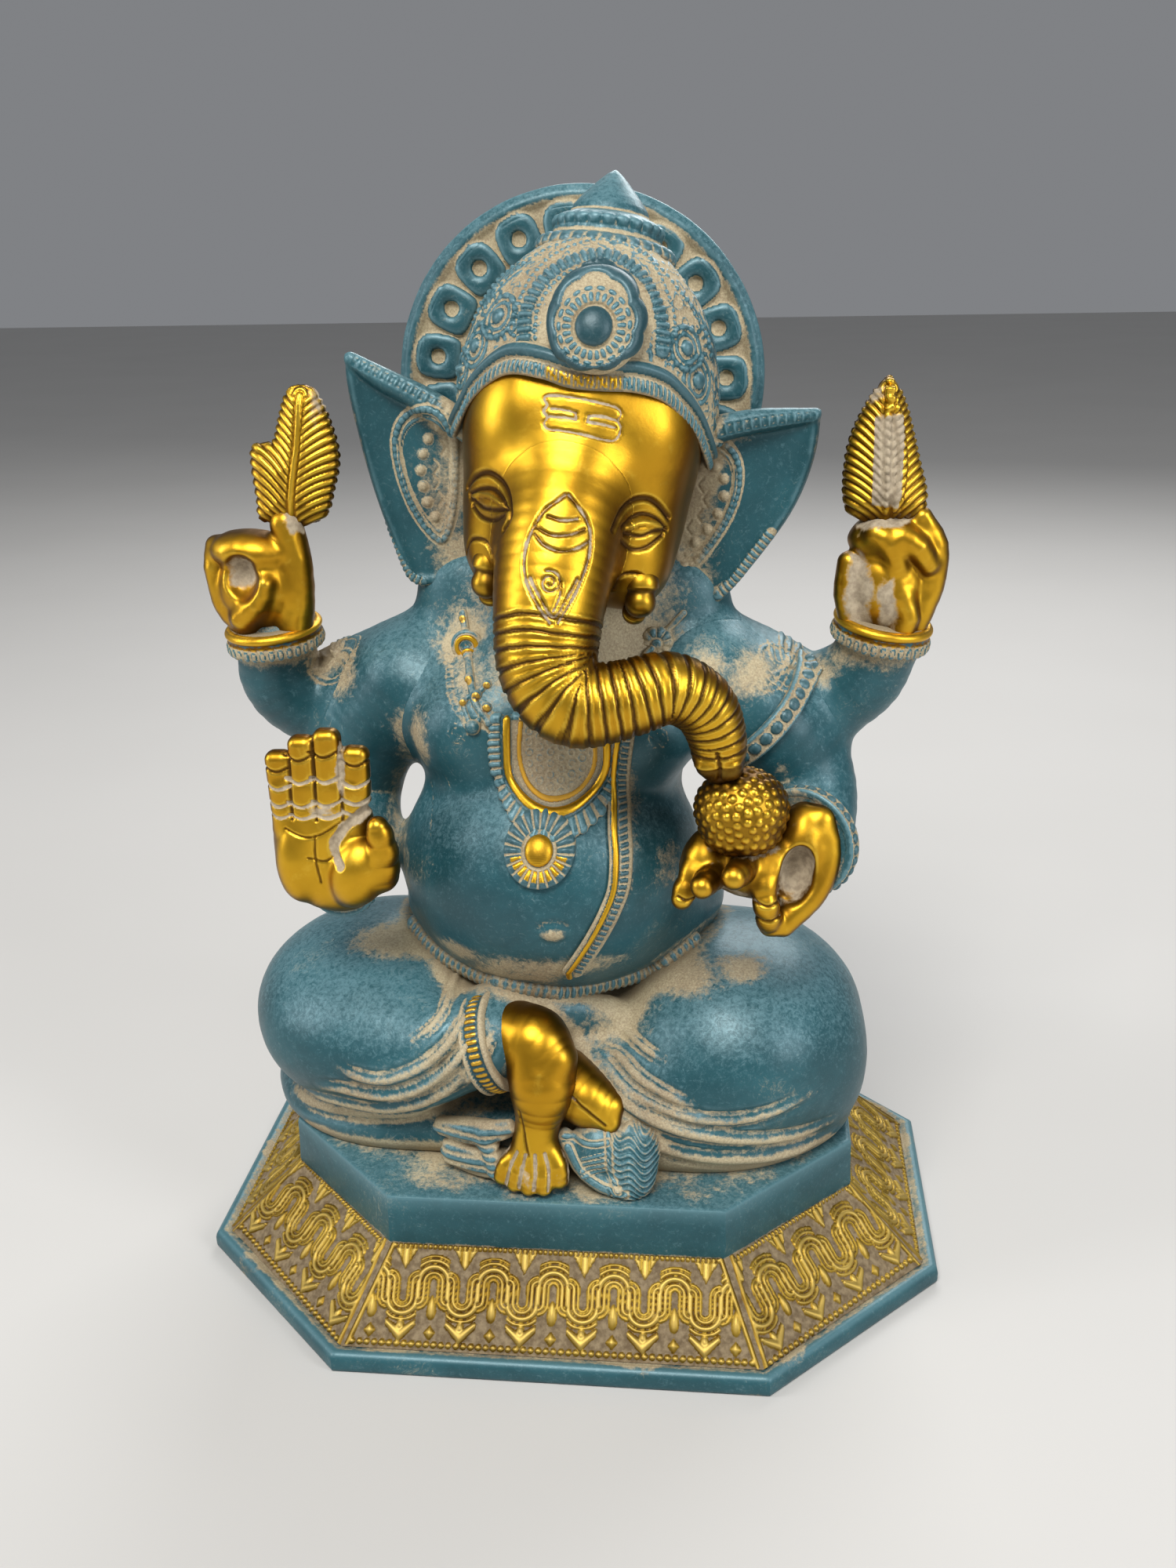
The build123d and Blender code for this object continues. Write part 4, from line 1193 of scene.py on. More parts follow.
def torso_skin(s):
    """Nipples, navel, collar lines, and wash where the castings meet."""
    f = TORSO
    front = smooth(-s.n[:, 1], 0.0, 0.3)
    for x, z in ((-24.2, 152.8), (25, 151.8)):
        c = spot(f, x, z)
        s.ring(c, 1.9, 0.4, 0.4, wash=0.75)
        s.dot(c, 0.8, 0.5)
    s.stain((-22, -20, 164), (7, 14, 8), 0.62)
    s.stain((23.5, -18, 170.5), (6.5, 14, 6.5), 0.7)
    collar = lay(f, [(-27, 173), (-23, 163), (-17.5, 157), (-12, 152.8)])
    s.ribs(collar, 2.6, 1.6, 0.3, wash=0.5)
    s.beads(lay(f, [(-30, 171), (-26.5, 161), (-21, 154.5)]), 1.9, 0.7, 0.5, wash=0.6)
    s.stain((16, -16, 172), (14, 14, 11), 0.98)
    s.stain((2, -22, 158), (15, 14, 10), 0.95)
    s.stain((-27, -14, 176), (11, 14, 11), 0.72)
    s.stain((-22, -14, 184), (12, 12, 8), 0.8)
    s.stain((28, -14, 182), (14, 12, 10), 0.85)
    s.stain((-12, -22, 168), (10, 14, 16), 0.6)
    s.stain((-35, -22, 149), (5, 12, 10), 0.8)
    s.stain((30, -18, 176), (8, 12, 7), 0.7)
    s.stain((0.4, -48, 107.4), (3.4, 6, 2.3), 0.98)
    swell(s, (0.4, -47.5, 107.6), (4.2, 8, 2.8), 0.9)
    s.groove(lay(f, [(-3.4, 109.2), (-1.2, 110.8), (1.8, 110.8), (4, 109.4)]), 0.7, 0.5, 0.2, 0.5)
    s.stain((-3, -42, 95.5), (30, 22, 5.5), 0.8)
    s.stain((-26, -36, 97), (10, 18, 5), 0.8)
    s.stain((17.4, -38, 128), (4.2, 22, 26), 0.5)
    s.groove(lay(f, [(-22, 156), (-17, 154), (-14, 151)]), 0.7, 0.5, 0.9)
    for pairs in ([(-36, 140), (-33, 133), (-32, 126)], [(-29, 141.5), (-27.5, 137.5)],
                  [(-31.5, 141), (-30, 136.6)]):
        s.groove(lay(f, pairs), 0.3, 0.12, 0.5)
    # Painted shade: a soft darker patch on the front of the belly's left side.
    belly_shade = np.sqrt(((s.p[:, 0] + 15.5) / 13) ** 2 + ((s.p[:, 2] - 111.0) / 10) ** 2)
    s.lift(dark=0.45 * smooth(1.15 - belly_shade, 0, 0.6) * front)


def arm_skin(s):
    """Wash below the cuffs of the rear arms, or in the bends of the front ones."""
    side = -1 if s.p[:, 0].mean() < 0 else 1
    high = s.p[:, 2].max() > 176 or abs(s.p[:, 0]).max() > 80
    if high:
        s.stain((side * 77, -3, 166), (13, 14, 5), 0.75)
        s.stain((side * 66, -4, 163), (9, 14, 7), 0.35)
    else:
        s.stain((-56, -30, 112.5) if side < 0 else (59, -25, 123), (13, 9, 11), 0.7)
        s.stain((-60, -4, 160) if side < 0 else (46, -10, 163), (9, 14, 8), 0.8)
        s.stain((-40, -16, 148) if side < 0 else (36, -16, 165), (7, 12, 10), 0.7)


ARMS = culled(union([culled(SOLID[n]) for n in BODY]))


def shoulder_motif(s):
    """Embossed sprays on the shoulders."""
    f = ARMS
    for cx, cz in ((-62, 163), (56, 163.5)):
        for k in range(7):
            angle = math.radians(-30 + 40 * k)
            tip = (cx + 6.5 * math.cos(angle), cz + 6.0 * math.sin(angle))
            mid = (cx + 3.6 * math.cos(angle + 0.35), cz + 3.4 * math.sin(angle + 0.35))
            s.ridge(lay(f, [(cx, cz), mid, tip], step=0.8), 0.6, 0.45, wash=0.85)
        s.ring(spot(f, cx, cz), 7.6, 0.55, 0.35, wash=0.7)


def legs_skin(s):
    """Folds of the drapery, and wash in the lap and along the seat."""
    f = LEGS

    def fold(pairs, width=1.7, height=0.9, wash=0.9):
        line = lay(f, pairs, step=1.2)
        d, run = to_path(s.p, line, width * 4)
        total = run.max()
        ends = smooth(np.minimum(run, total - run), 0, total * 0.18 + 0.1) * 0.85 + 0.15
        s.h += height * bump(d / width) * ends
        s.h -= height * 0.6 * bump(np.clip(np.abs(d - width * 1.5) / (width * 0.7), 0, 1)) * ends
        s.lift(wash=wash * bump(d / (width * 1.0)) ** 0.5 * (0.5 + 0.5 * ends))
        s.lift(wash=0.4 * wash * bump(np.clip(np.abs(d - width * 1.5) / (width * 0.8), 0, 1)))

    fold([(-36, 78), (-31.5, 81), (-28.5, 84), (-27.5, 87)], 1.1, 0.7)
    fold([(-31.5, 73), (-26, 79), (-22.5, 84)], 1.2, 0.8)
    fold([(-29, 69.5), (-22.5, 77), (-19, 83)], 1.3, 0.8)
    fold([(-22, 67), (-19, 74), (-15.3, 81)], 1.3, 0.9)
    fold([(-56, 69), (-51, 67.3), (-44, 67.3), (-38, 69.6), (-31.5, 73.5), (-26.5, 78), (-23.2, 83)], 1.5,
         0.9, 0.8)
    fold([(-62, 60), (-56, 61.8), (-48, 61.6), (-39.5, 63), (-32, 67), (-25.5, 72.7), (-20.7, 79)], 1.7,
         1.0, 0.85)
    fold([(-70, 51), (-64, 53), (-56.7, 54.6), (-45, 55.8), (-35, 59.6), (-27, 65.4), (-22, 71)], 2.0, 1.1,
         0.95)
    fold([(-76, 46), (-66, 47), (-54, 48.4), (-42, 50), (-32, 54.6)], 2.0, 0.9, 0.9)
    fold([(14.5, 73), (16.8, 72.2), (20.2, 71.6), (26, 70.5)], 1.1, 0.7)
    fold([(11, 69.5), (15.2, 69), (20.7, 66), (27.8, 63), (34, 60.8)], 1.5, 0.9, 0.85)
    fold([(9.6, 69), (13.5, 66.5), (18.8, 62.8), (26, 59.8), (34.7, 57.4), (45.5, 57), (55, 58.6),
          (64, 61.5)], 1.6, 0.9, 0.75)
    fold([(10, 66), (15.8, 62), (22, 58), (30, 54.3), (38, 52), (50, 49.4), (62, 47.5), (70, 48)], 1.8, 1.0,
         0.9)
    fold([(14, 56), (20, 52.4), (26, 48), (36, 44.6), (48, 42.6), (60, 41.4), (70, 42)], 2.0, 1.0, 0.9)
    s.stain((-44, -23, 91.5), (17, 12, 3.0), 0.9)
    s.stain((-27, -26, 86.5), (7, 10, 4.5), 0.9)
    s.stain((14, -22, 79), (14, 20, 11), 0.9)
    s.stain((28, -26, 86), (18, 12, 4.5), 0.85)
    s.stain((46, -26, 88.5), (9, 10, 2.6), 0.8)
    s.stain((0, -30, 58), (11, 40, 22), 0.75)
    s.stain((0, -40, 40), (90, 60, 4.2), 0.7)
    s.stain((-2, -20, 84), (22, 22, 7), 0.85)
    s.stain((0, 36, 88), (60, 26, 7), 0.4)
    for path in ([(-20, 38, 88), (-42, 33, 82), (-66, 24, 66), (-78, 8, 52)],
                 [(16, 38, 88), (38, 33, 83), (60, 24, 66), (72, 10, 52)],
                 [(-14, 44, 76), (-36, 42, 68), (-58, 34, 54), (-72, 20, 44)],
                 [(12, 44, 76), (34, 42, 68), (54, 34, 54), (68, 18, 44)]):
        line = snap(f, spline(path, 1.5), 10)
        s.ridge(line, 1.5, 0.8, wash=0.75)


def palm_skin(s):
    """Creases of the fingers, palm and wrist."""
    f = SOLID["blessing_hand"]
    s.h += 0.08 * hash_noise(s.p, 3.0, 4)
    for x, levels in ((-66.4, (147.2, 142.8, 138.4)), (-60.6, (150.4, 144.6, 138.6)),
                      (-54.3, (151.4, 145.0, 139.0)), (-47.0, (149.0, 143.8, 139.4))):
        for k, z in enumerate(levels):
            s.groove(lay(f, [(x - 3.4, z + 0.7), (x, z - 0.5), (x + 3.4, z + 0.7)], step=0.6), 0.6, 0.42,
                     0.9 if k else 0.2, 0.8)
        s.groove(lay(f, [(x - 3.2, levels[2] - 2.4), (x, levels[2] - 3.4), (x + 3.2, levels[2] - 2.4)]),
                 0.55, 0.35, 0.95, 0.2)
    for x, z0, z1 in ((-63.1, 135, 151), (-56.9, 135, 156), (-50.5, 135, 153)):
        s.groove(lay(f, [(x, z0), (x, (z0 + z1) / 2), (x + 0.1, z1)]), 0.7, 0.45, 0.3, 0.9)
    s.stain((-50.4, -43, 147), (1.6, 5, 8), 0.8)
    s.stain((-57, -46, 137.5), (11, 6, 1.8), 0.6)
    s.groove(lay(f, [(-43.4, 138), (-46, 136.6), (-49.6, 133.6), (-52.6, 130), (-52.8, 127), (-51, 124.6)]),
             1.5, 1.1, 1.0, 0.1)
    s.groove(lay(f, [(-65, 132.6), (-60, 130.8), (-56, 131.6), (-51, 134.6)]), 0.5, 0.35, 0.1, 0.5)
    s.groove(lay(f, [(-57.5, 131), (-57.8, 125), (-57, 119)]), 0.5, 0.35, 0.1, 0.5)
    s.groove(lay(f, [(-59.5, 125.5), (-55.6, 124.6), (-52.6, 126.6)]), 0.5, 0.3, 0.1, 0.5)


def offering_skin(s):
    f = culled(SOLID["offering_hand"])
    s.h += 0.1 * hash_noise(s.p, 2.6, 9)
    s.stain((58.6, -38, 122.4), (5.5, 5.0, 8.5), 1.0)
    s.stain((42, -45, 117), (8, 6, 4), 0.7)
    s.stain((46, -44, 130), (9, 6, 2.6), 0.5)
    for pairs in ([(48.5, 118), (52, 117.2), (55, 118)], [(49, 113.4), (52.4, 112.8), (55, 113.6)],
                  [(36, 118), (33, 117), (30.5, 118)]):
        s.groove(lay(f, pairs, step=0.6), 0.6, 0.5, 0.4, 0.7)


def sweet_skin(s):
    """Small grains spread evenly over the ball."""
    centre = floats((45.3, -39.5, 137.6))
    d = s.p - centre
    u = d / np.maximum(np.sqrt((d ** 2).sum(1, keepdims=True)), 1e-6)
    count = 230
    golden = PI * (3 - math.sqrt(5))
    for k in range(count):
        y = 1 - 2 * (k + 0.5) / count
        r = math.sqrt(1 - y * y)
        v = floats((r * math.cos(golden * k), y, r * math.sin(golden * k)))
        x = np.arccos(np.clip(u @ v, -1, 1)) * 10.6
        s.h += 0.42 * np.clip(1 - (x / 1.05) ** 2, 0, 1)
    s.dark = np.clip(0.55 - 2.2 * s.h, 0, 1)


def leaf_skin(side):
    def work(s):
        x, z = s.p[:, 0], s.p[:, 2]
        if side < 0:
            line = [(-68.5, 199), (-66.6, 210), (-64.6, 220), (-63.2, 231)]
            lean = 1.1
        else:
            line = [(78.8, 200), (78.2, 210), (77.6, 220), (77.8, 231)]
            lean = 1.2
        d, run = to_path(np.column_stack([x, np.zeros_like(x), z]), [(a, 0, b) for a, b in spline(
            [(a, 0, b) for a, b in line], 1.0)[:, [0, 2]]], 30)
        chevron = 0.5 + 0.5 * np.cos(2 * PI * (run - lean * d + 0.04 * d * d) / 2.1)
        face_on = np.abs(s.n[:, 1]) > 0.25
        mask = smooth(d, 0.9, 1.6) * face_on
        s.h += 0.6 * np.sqrt(chevron) * mask
        s.h += 0.55 * bump(d / 1.0) * face_on
        s.dark = 0.75 * (1 - np.sqrt(chevron)) * mask
        if side > 0:
            strip = smooth(z, 203, 206) * smooth(229 - z, 0, 6)
            s.wash = 0.95 * (np.abs(x - 78.0) < 3.2) * strip * (s.n[:, 1] < 0)
            dots = np.sqrt((x - 78.0) ** 2 + (np.mod(z, 2.0) - 1) ** 2)
            s.h += 0.6 * rounded(dots / 0.8)
            rib = lay(culled(SOLID["left_hand_bud"]), [(80.6, 204), (81.4, 214), (80, 224), (77.8, 231)])
            s.ridge(rib, 1.2, 1.0)
            s.stain((74, -8, 230), (4, 6, 5), 0.6)
        else:
            s.stain((-60, -5, 228), (3.2, 8, 6), 0.6)
    return work


def fist_skin(side):
    def work(s):
        s.h += 0.12 * hash_noise(s.p, 2.4, 12)
        if side < 0:
            s.stain((-81.5, -9, 188), (5.0, 5.0, 6.0), 0.9)
            s.stain((-66.5, -9, 200), (5, 6, 3.5), 0.8)
        else:
            s.stain((72.5, -9, 184), (4.6, 8, 14), 0.85)
            s.stain((79.5, -11, 182), (3.2, 8, 9), 0.8)
            s.stain((76, -9, 201), (9, 8, 3.2), 0.8)
    return work


def band_local(name, s):
    """Height along a band's axis, angle round it and distance from it, with its radius and height."""
    c, a, r, h = BANDS[name]
    a = np.asarray(a, float)
    a = floats(a / np.linalg.norm(a))
    q = s.p - floats(c)
    t = q @ a
    side = np.cross(a, (0, 1, 0) if abs(a[1]) < 0.9 else (1, 0, 0))
    side /= np.linalg.norm(side)
    other = np.cross(a, side)
    angle = np.arctan2(q @ floats(side), q @ floats(other))
    radius = np.sqrt(np.maximum((q * q).sum(1) - t * t, 0))
    return t, angle, radius, r, h


def cuff_skin(name):
    def work(s):
        t, angle, radius, r, h = band_local(name, s)
        rim = radius > r - 1.2
        count = 34
        fringe = ribbed(count * angle) * bump((t + h * 0.26) / (h * 0.34))
        s.h += 0.7 * fringe * rim
        s.h += 0.55 * bump((t - h * 0.3) / 1.1) * rim
        s.gold = ((t > -h * 0.02) & rim) * 1.0
        s.wash = np.clip(0.95 - 0.4 * fringe, 0, 1) * (t < 0) * (fringe < 0.55) * rim
        s.lift(wash=0.8 * (fringe > 0.75) * (t < 0))
        s.lift(wash=0.5 * (radius < r - 1.2))
    return work


def beaded_skin(name):
    def work(s):
        t, angle, radius, r, h = band_local(name, s)
        rim = radius > (r - 1.6 if name != "left_armlet" else 8.0)
        count = 30
        run = np.mod(angle * count / (2 * PI) + 0.5, 1) - 0.5
        size = r * 2 * PI / count
        d = np.sqrt((run * size) ** 2 + t ** 2)
        s.h += 0.8 * rounded(d / (size * 0.46)) * rim
        s.h += 0.4 * bump((np.abs(t) - h * 0.42) / 0.6) * rim
        s.wash = 0.85 * (np.abs(t) < h * 0.4) * (d > size * 0.46) * rim
        s.dark = 0.5 * (d < size * 0.46)
    return work


def anklet_skin(s):
    t, angle, radius, r = band_local("anklet", s)[:4]
    rim = radius > r - 1.4
    ribs = ribbed(44 * angle) * bump(t / 2.2)
    s.h += 0.7 * ribs * rim
    s.h += 0.8 * bump((np.abs(t) - 2.7) / 0.7) * rim
    s.gold = ((np.abs(t) < 2.1) & rim & (ribs > 0.3)) * 0.9
    s.dark = 0.8 * ((np.abs(t) < 2.1) & (ribs < 0.4))
    s.wash = 0.9 * (np.abs(t) > 2.2)


def foot_skin(s):
    f = culled(SOLID["right_foot"])
    s.h += 0.08 * hash_noise(s.p, 3.0, 14)
    for x in (-11.6, -8.4, -4.8, -1.4):
        s.groove(lay(f, [(x * 0.7 - 1.4, 50), (x, 45), (x * 1.1, 40)]), 0.6, 0.5, 0.9, 0.4)
    s.stain((-6, -53, 43), (12, 8, 6.5), 0.62)
    s.groove(lay(f, [(-8.5, 62), (-7.5, 55), (-6.5, 50)]), 0.6, 0.35, 0.1, 0.7)


def mouse_skin(s):
    """Wavy scales on the right, hems and ribs on the left."""
    f = culled(SOLID["mouse"])
    wave = np.cos(2 * PI * (s.p[:, 2] + 1.1 * np.sin(s.p[:, 0] * 0.9) + 0.35 * s.p[:, 0]) / 1.75)
    right = smooth(s.p[:, 0], 12.5, 14.5)
    s.h += 0.3 * wave * right
    s.wash = 0.55 * (wave > 0.75) * right
    s.ridge(lay(f, [(13, 57), (13.6, 51), (14, 45), (16, 40.5)]), 0.7, 0.6, wash=0.9)
    s.ridge(lay(f, [(2, 53), (7, 52), (13, 52.5)]), 0.7, 0.6, wash=0.9)
    for z in (50, 48.4, 46.8, 45.2):
        s.ridge(lay(f, [(7, z - 2.4), (10, z - 0.8), (13, z)]), 0.4, 0.35, wash=0.7)
    s.ridge(lay(f, [(3, 50), (6.5, 44), (12, 40.5), (17.5, 39.6)]), 1.0, 0.6, wash=0.85)
    s.stain((4, -50, 42), (4, 8, 3), 0.6)


def cloth_skin(s):
    run = s.p[:, 2] - 0.12 * s.p[:, 0] + 0.5 * hash_noise(s.p, 7.0, 44)
    s.h += 0.22 * np.cos(2 * PI * run / 2.4)
    s.wash[:] = 0.45 + 0.25 * np.cos(2 * PI * run / 2.4 + PI)


def leftfoot_skin(s):
    s.h += 0.08 * hash_noise(s.p, 3.0, 17)
    s.groove(lay(culled(SOLID["left_foot"]), [(3.5, 65), (7.5, 61.6), (12.6, 56.6)]), 0.6, 0.4, 0.3, 0.8)


# ============================== worn pieces, shaped over the chest

def path_distance(p, pairs, closed=False):
    """Distance in the x-z plane to a line, and the length along it."""
    line = spline([(x, 0.0, z) for x, z in pairs], 1.0, closed)
    flat = p.reshape(-1, 3) * floats((1, 0, 1))
    d, run = to_path(flat, line, 60)
    return d.reshape(p.shape[:-1]), run.reshape(p.shape[:-1])


def shell(base, region, out, inner, lo, hi):
    """A thin cover over a base surface, inside a region seen from the front."""
    def f(p):
        d = base(p)
        return smax(smax(d - out, -(d + inner), 0.0), np.maximum(region(p), p[..., 1] + 5.0), 0.5)

    return Field(f, lo, hi)


NECK_OUT = [(-15.5, 157), (-16.2, 150), (-15.8, 143.5), (-13.6, 138), (-9.5, 133.2), (-4, 130.3),
            (1.5, 129.8), (7, 131.2), (11.5, 134.2), (14.4, 138.6), (15.0, 144), (14.6, 151), (14, 157)]
CORD = [(-12, 156), (-12, 150), (-11.6, 143), (-9, 139.2), (-5.2, 136.8), (-0.9, 135.6), (3.4, 135.9),
        (7, 137.4), (10, 140), (12.2, 144.5), (12.6, 150), (12, 156)]
CORD_IN = [(-8.5, 156), (-9, 148), (-7.6, 142.4), (-4.5, 139.2), (-0.5, 138), (4.4, 138.8), (7.6, 141.4),
           (9.6, 146.5), (9.4, 156)]
PENDANT_C = (-2.9, 128.3)
STRAP = [(15.5, 163), (16.5, 158), (16.6, 153), (15.8, 147), (15.2, 140), (15.7, 131.5), (16.4, 125),
         (16.0, 118), (13.8, 112), (10.8, 106), (7.2, 99.6), (4.5, 95)]


def neck_region(p):
    return polygon_distance(p[..., 0], p[..., 2], NECK_OUT)


def pendant_region(p):
    return np.sqrt((p[..., 0] - PENDANT_C[0]) ** 2 + (p[..., 2] - PENDANT_C[1]) ** 2) - 8.6


def strap_region(p):
    return path_distance(p, STRAP)[0] - 2.7


SOLID["necklace"] = shell(TORSO, neck_region, 0.9, 0.7, (-17.5, -46, 128), (17.5, -12, 159))
SOLID["pendant"] = shell(TORSO, pendant_region, 1.5, 0.6, (-12.5, -52, 118.5), (6.8, -30, 138))
SOLID["sacred_thread"] = shell(TORSO, strap_region, 1.0, 0.6, (1, -50, 92), (20.5, -18, 165))


JEWELS = [(-24.0, 170.0, 3.0), (-22.2, 164.2, 1.3), (-19.8, 161.2, 1.4), (-17.0, 158.8, 1.3),
          (-23.0, 159.8, 1.1), (-17.4, 163.4, 1.2), (-25.6, 176.0, 1.2), (-20.2, 154.4, 1.9),
          (-16.4, 155.4, 1.2)]
CHAIN = drop(TORSO, [(-25.6, 177), (-24.0, 170), (-21.6, 163.5), (-19.6, 159.0), (-16.4, 155.4),
                     (-13.5, 152)])
TWIG = drop(TORSO, [(-17.4, 163.4), (-19.8, 161.2), (-23.0, 159.8), (-20.2, 154.4), (-17.0, 158.8)])
ROSETTE = (23.5, 170.5)
ROSETTE_CHAIN = drop(TORSO, [(30, 177), (23.5, 170.5), (19.5, 166), (15.5, 162)])


def jewel_field():
    pieces = [limb(CHAIN, [1.1] * len(CHAIN)), limb(TWIG, [0.8] * len(TWIG))]
    for x, z, r in JEWELS:
        c = spot(TORSO, x, z)
        pieces.append(egg(c, (r + 0.9, 1.4, r + 0.9)) if r > 2.5 else ball(c + floats((0, -0.3, 0)), r))
    return union(pieces, 0.3)


def rosette_field():
    c = spot(TORSO, *ROSETTE)
    return union([limb(ROSETTE_CHAIN, [0.9] * len(ROSETTE_CHAIN)), egg(c, (4.0, 1.5, 4.0))], 0.3)


SOLID["chest_jewels"] = jewel_field()
SOLID["chest_rosette"] = rosette_field()


def jewels_skin(s):
    s.wash[:] = 0.35
    c = spot(TORSO, -24, 170)
    s.dot(c, 1.5, 0.8, gold=1)
    s.ring(c, 2.7, 0.5, 0.6, gold=1)
    s.ring(c, 3.8, 0.4, 0.3, wash=0.9)
    for x, z, r in JEWELS[1:7]:
        near = np.sqrt((s.p[:, 0] - x) ** 2 + (s.p[:, 2] - z) ** 2) < r * 0.75
        s.lift(gold=0.8 * near)


def rosette_skin(s):
    s.wash[:] = 0.4
    c = spot(TORSO, *ROSETTE)
    s.ring(c, 1.5, 0.4, 0.4, wash=0.8)
    radial(s, ROSETTE, 10, 1.9, 4.2, 0.5)


def necklace_skin(s):
    d, run = path_distance(s.p, CORD)
    inside = polygon_distance(s.p[:, 0], s.p[:, 2], CORD) < 0
    front = s.n[:, 1] < 0.2
    s.h += 0.95 * rounded(d / 1.0) * front
    s.gold = (d < 0.95) * 1.0 * front
    ribs = ribbed(2 * PI * run / 1.75)
    fringe = smooth(d, 1.4, 1.9) * (~inside) * front
    s.h += 0.7 * ribs * fringe
    s.wash = np.clip(0.98 - 1.2 * ribs, 0, 1) * fringe
    s.lift(wash=0.95 * inside * (d > 1.1) * front)
    d2 = path_distance(s.p, CORD_IN)[0]
    s.h += 0.7 * rounded(d2 / 0.62) * front
    s.lift(gold=(d2 < 0.6) * 0.85 * front)
    deep = polygon_distance(s.p[:, 0], s.p[:, 2], CORD_IN) < -1.2
    cell_x = np.mod(s.p[:, 0], 2.6) - 1.3
    cell_z = np.mod(s.p[:, 2] + 1.3 * np.mod(np.floor(s.p[:, 0] / 2.6), 2), 2.6) - 1.3
    curl = np.abs(np.sqrt(cell_x ** 2 + cell_z ** 2) - 0.8 + 0.15 * hash_noise(s.p, 3.0, 31))
    line = np.clip(1 - curl / 0.35, 0, 1) * deep * front
    s.h += 0.40 * line
    s.wash = s.wash - 0.45 * line
    s.dark = 0.5 * bump((d - 1.3) / 0.4)


def pendant_skin(s):
    r, angle = radial(s, PENDANT_C, 22, 4.6, 8.4, 0.8)
    ribs = ribbed(22 * angle)
    s.h += 1.6 * rounded(r / 3.4)
    s.h -= 0.4 * bump((r - 3.9) / 0.5)
    s.gold = 1.0 * (r < 3.5)
    low = (np.sin(angle) < -0.25) & (r > 4.4) & (r < 7.0) & (ribs > 0.5)
    s.lift(gold=1.0 * low)
    s.wash = np.clip(0.95 - 1.2 * ribs, 0, 1) * (r > 4.2)
    s.lift(wash=0.9 * bump((r - 4.0) / 0.6))
    s.dark = 0.6 * (r > 4.4) * (ribs > 0.5) * (~low)


def thread_skin(s):
    run = path_distance(s.p, STRAP)[1]
    line = spline([(x, 0.0, z) for x, z in STRAP], 1.0)
    nearest = np.interp(s.p[:, 2], line[::-1, 2], line[::-1, 0])
    side = s.p[:, 0] - nearest
    front = s.n[:, 1] < 0.3
    s.h += 0.8 * rounded((side + 1.2) / 0.75) * front
    s.gold = 1.0 * (np.abs(side + 1.2) < 0.75) * front
    ladder = ribbed(2 * PI * run / 1.5) * (np.abs(side - 0.9) < 0.9)
    s.h += 0.5 * ladder * front
    s.wash = 0.9 * (np.abs(side - 0.9) < 1.0) * (ladder < 0.5) + 0.95 * (side > 1.9) + 0.95 * (side < -2.1)
    s.wash = np.clip(s.wash, 0, 1)
    s.dark = 0.7 * (ladder > 0.5)


def belt_line():
    """The belt's run, pressed in where the belly meets the lap."""
    pts = floats([(-36, -12, 101), (-33, -27, 95.5), (-27, -36, 91.5), (-18, -41.5, 88.5), (-8, -44, 87.4),
                  (2, -43, 88.6),
               (9, -39.5, 91.0), (18, -35, 93.4), (27, -28, 97.0), (33.5, -17, 101)])
    for turn in range(12):
        pts = snap(LEGS, snap(TORSO, pts, 1), 1)
    return spline(pts + floats((0, -1.2, 0.6)), 1.2)


BELT_PATH = belt_line()
SOLID["waist_belt"] = limb(BELT_PATH[::2], [2.3] * len(BELT_PATH[::2]), 2.6)


def belt_skin(s):
    run = to_path(s.p, BELT_PATH, 6)[1]
    ribs = ribbed(2 * PI * run / 1.9)
    s.h += 0.55 * ribs
    s.wash = np.clip(0.95 - 1.15 * ribs, 0, 1)


# ============================== contact shade: how enclosed each point is

GRID_LO, GRID_STEP = floats((-104, -84, -4)), 2.0
GRID_N = (105, 85, 146)
near_grid = np.full(GRID_N, 30.0, np.float32)
BLOCKERS = dict(SOLID)
BLOCKERS["dais"] = box((0, 0, 20), (74, 56, 17.0), (0, 0, 0), 3.0)
for blocker in BLOCKERS.values():
    first = np.maximum(np.floor((blocker.lo - 12 - GRID_LO) / GRID_STEP).astype(int), 0)
    last = np.minimum(np.ceil((blocker.hi + 12 - GRID_LO) / GRID_STEP).astype(int) + 1, GRID_N)
    axes = [GRID_LO[k] + GRID_STEP * np.arange(first[k], last[k]) for k in range(3)]
    points = np.stack(np.meshgrid(*axes, indexing="ij"), -1).astype(np.float32)
    block = near_grid[first[0]:last[0], first[1]:last[1], first[2]:last[2]]
    np.minimum(block, blocker(points), out=block)


def sample(p):
    """The distance to the nearest casting, read from the grid."""
    q = np.clip((p - GRID_LO) / GRID_STEP, 0, floats(GRID_N) - 1.01)
    i = q.astype(int)
    f = q - i
    out = 0
    for dx in (0, 1):
        for dy in (0, 1):
            for dz in (0, 1):
                out = out + corner_weight(f, dx, dy, dz) * near_grid[i[:, 0] + dx, i[:, 1] + dy, i[:, 2] + dz]
    return out


def openness(p, n):
    """How free the space over each point is, from 0 to 1."""
    out = 0
    for reach, share in ((3.0, 0.35), (6.0, 0.35), (10.0, 0.3)):
        out = out + share * np.clip(sample(p + n * reach) / reach, 0, 1)
    return out


# ============================== materials

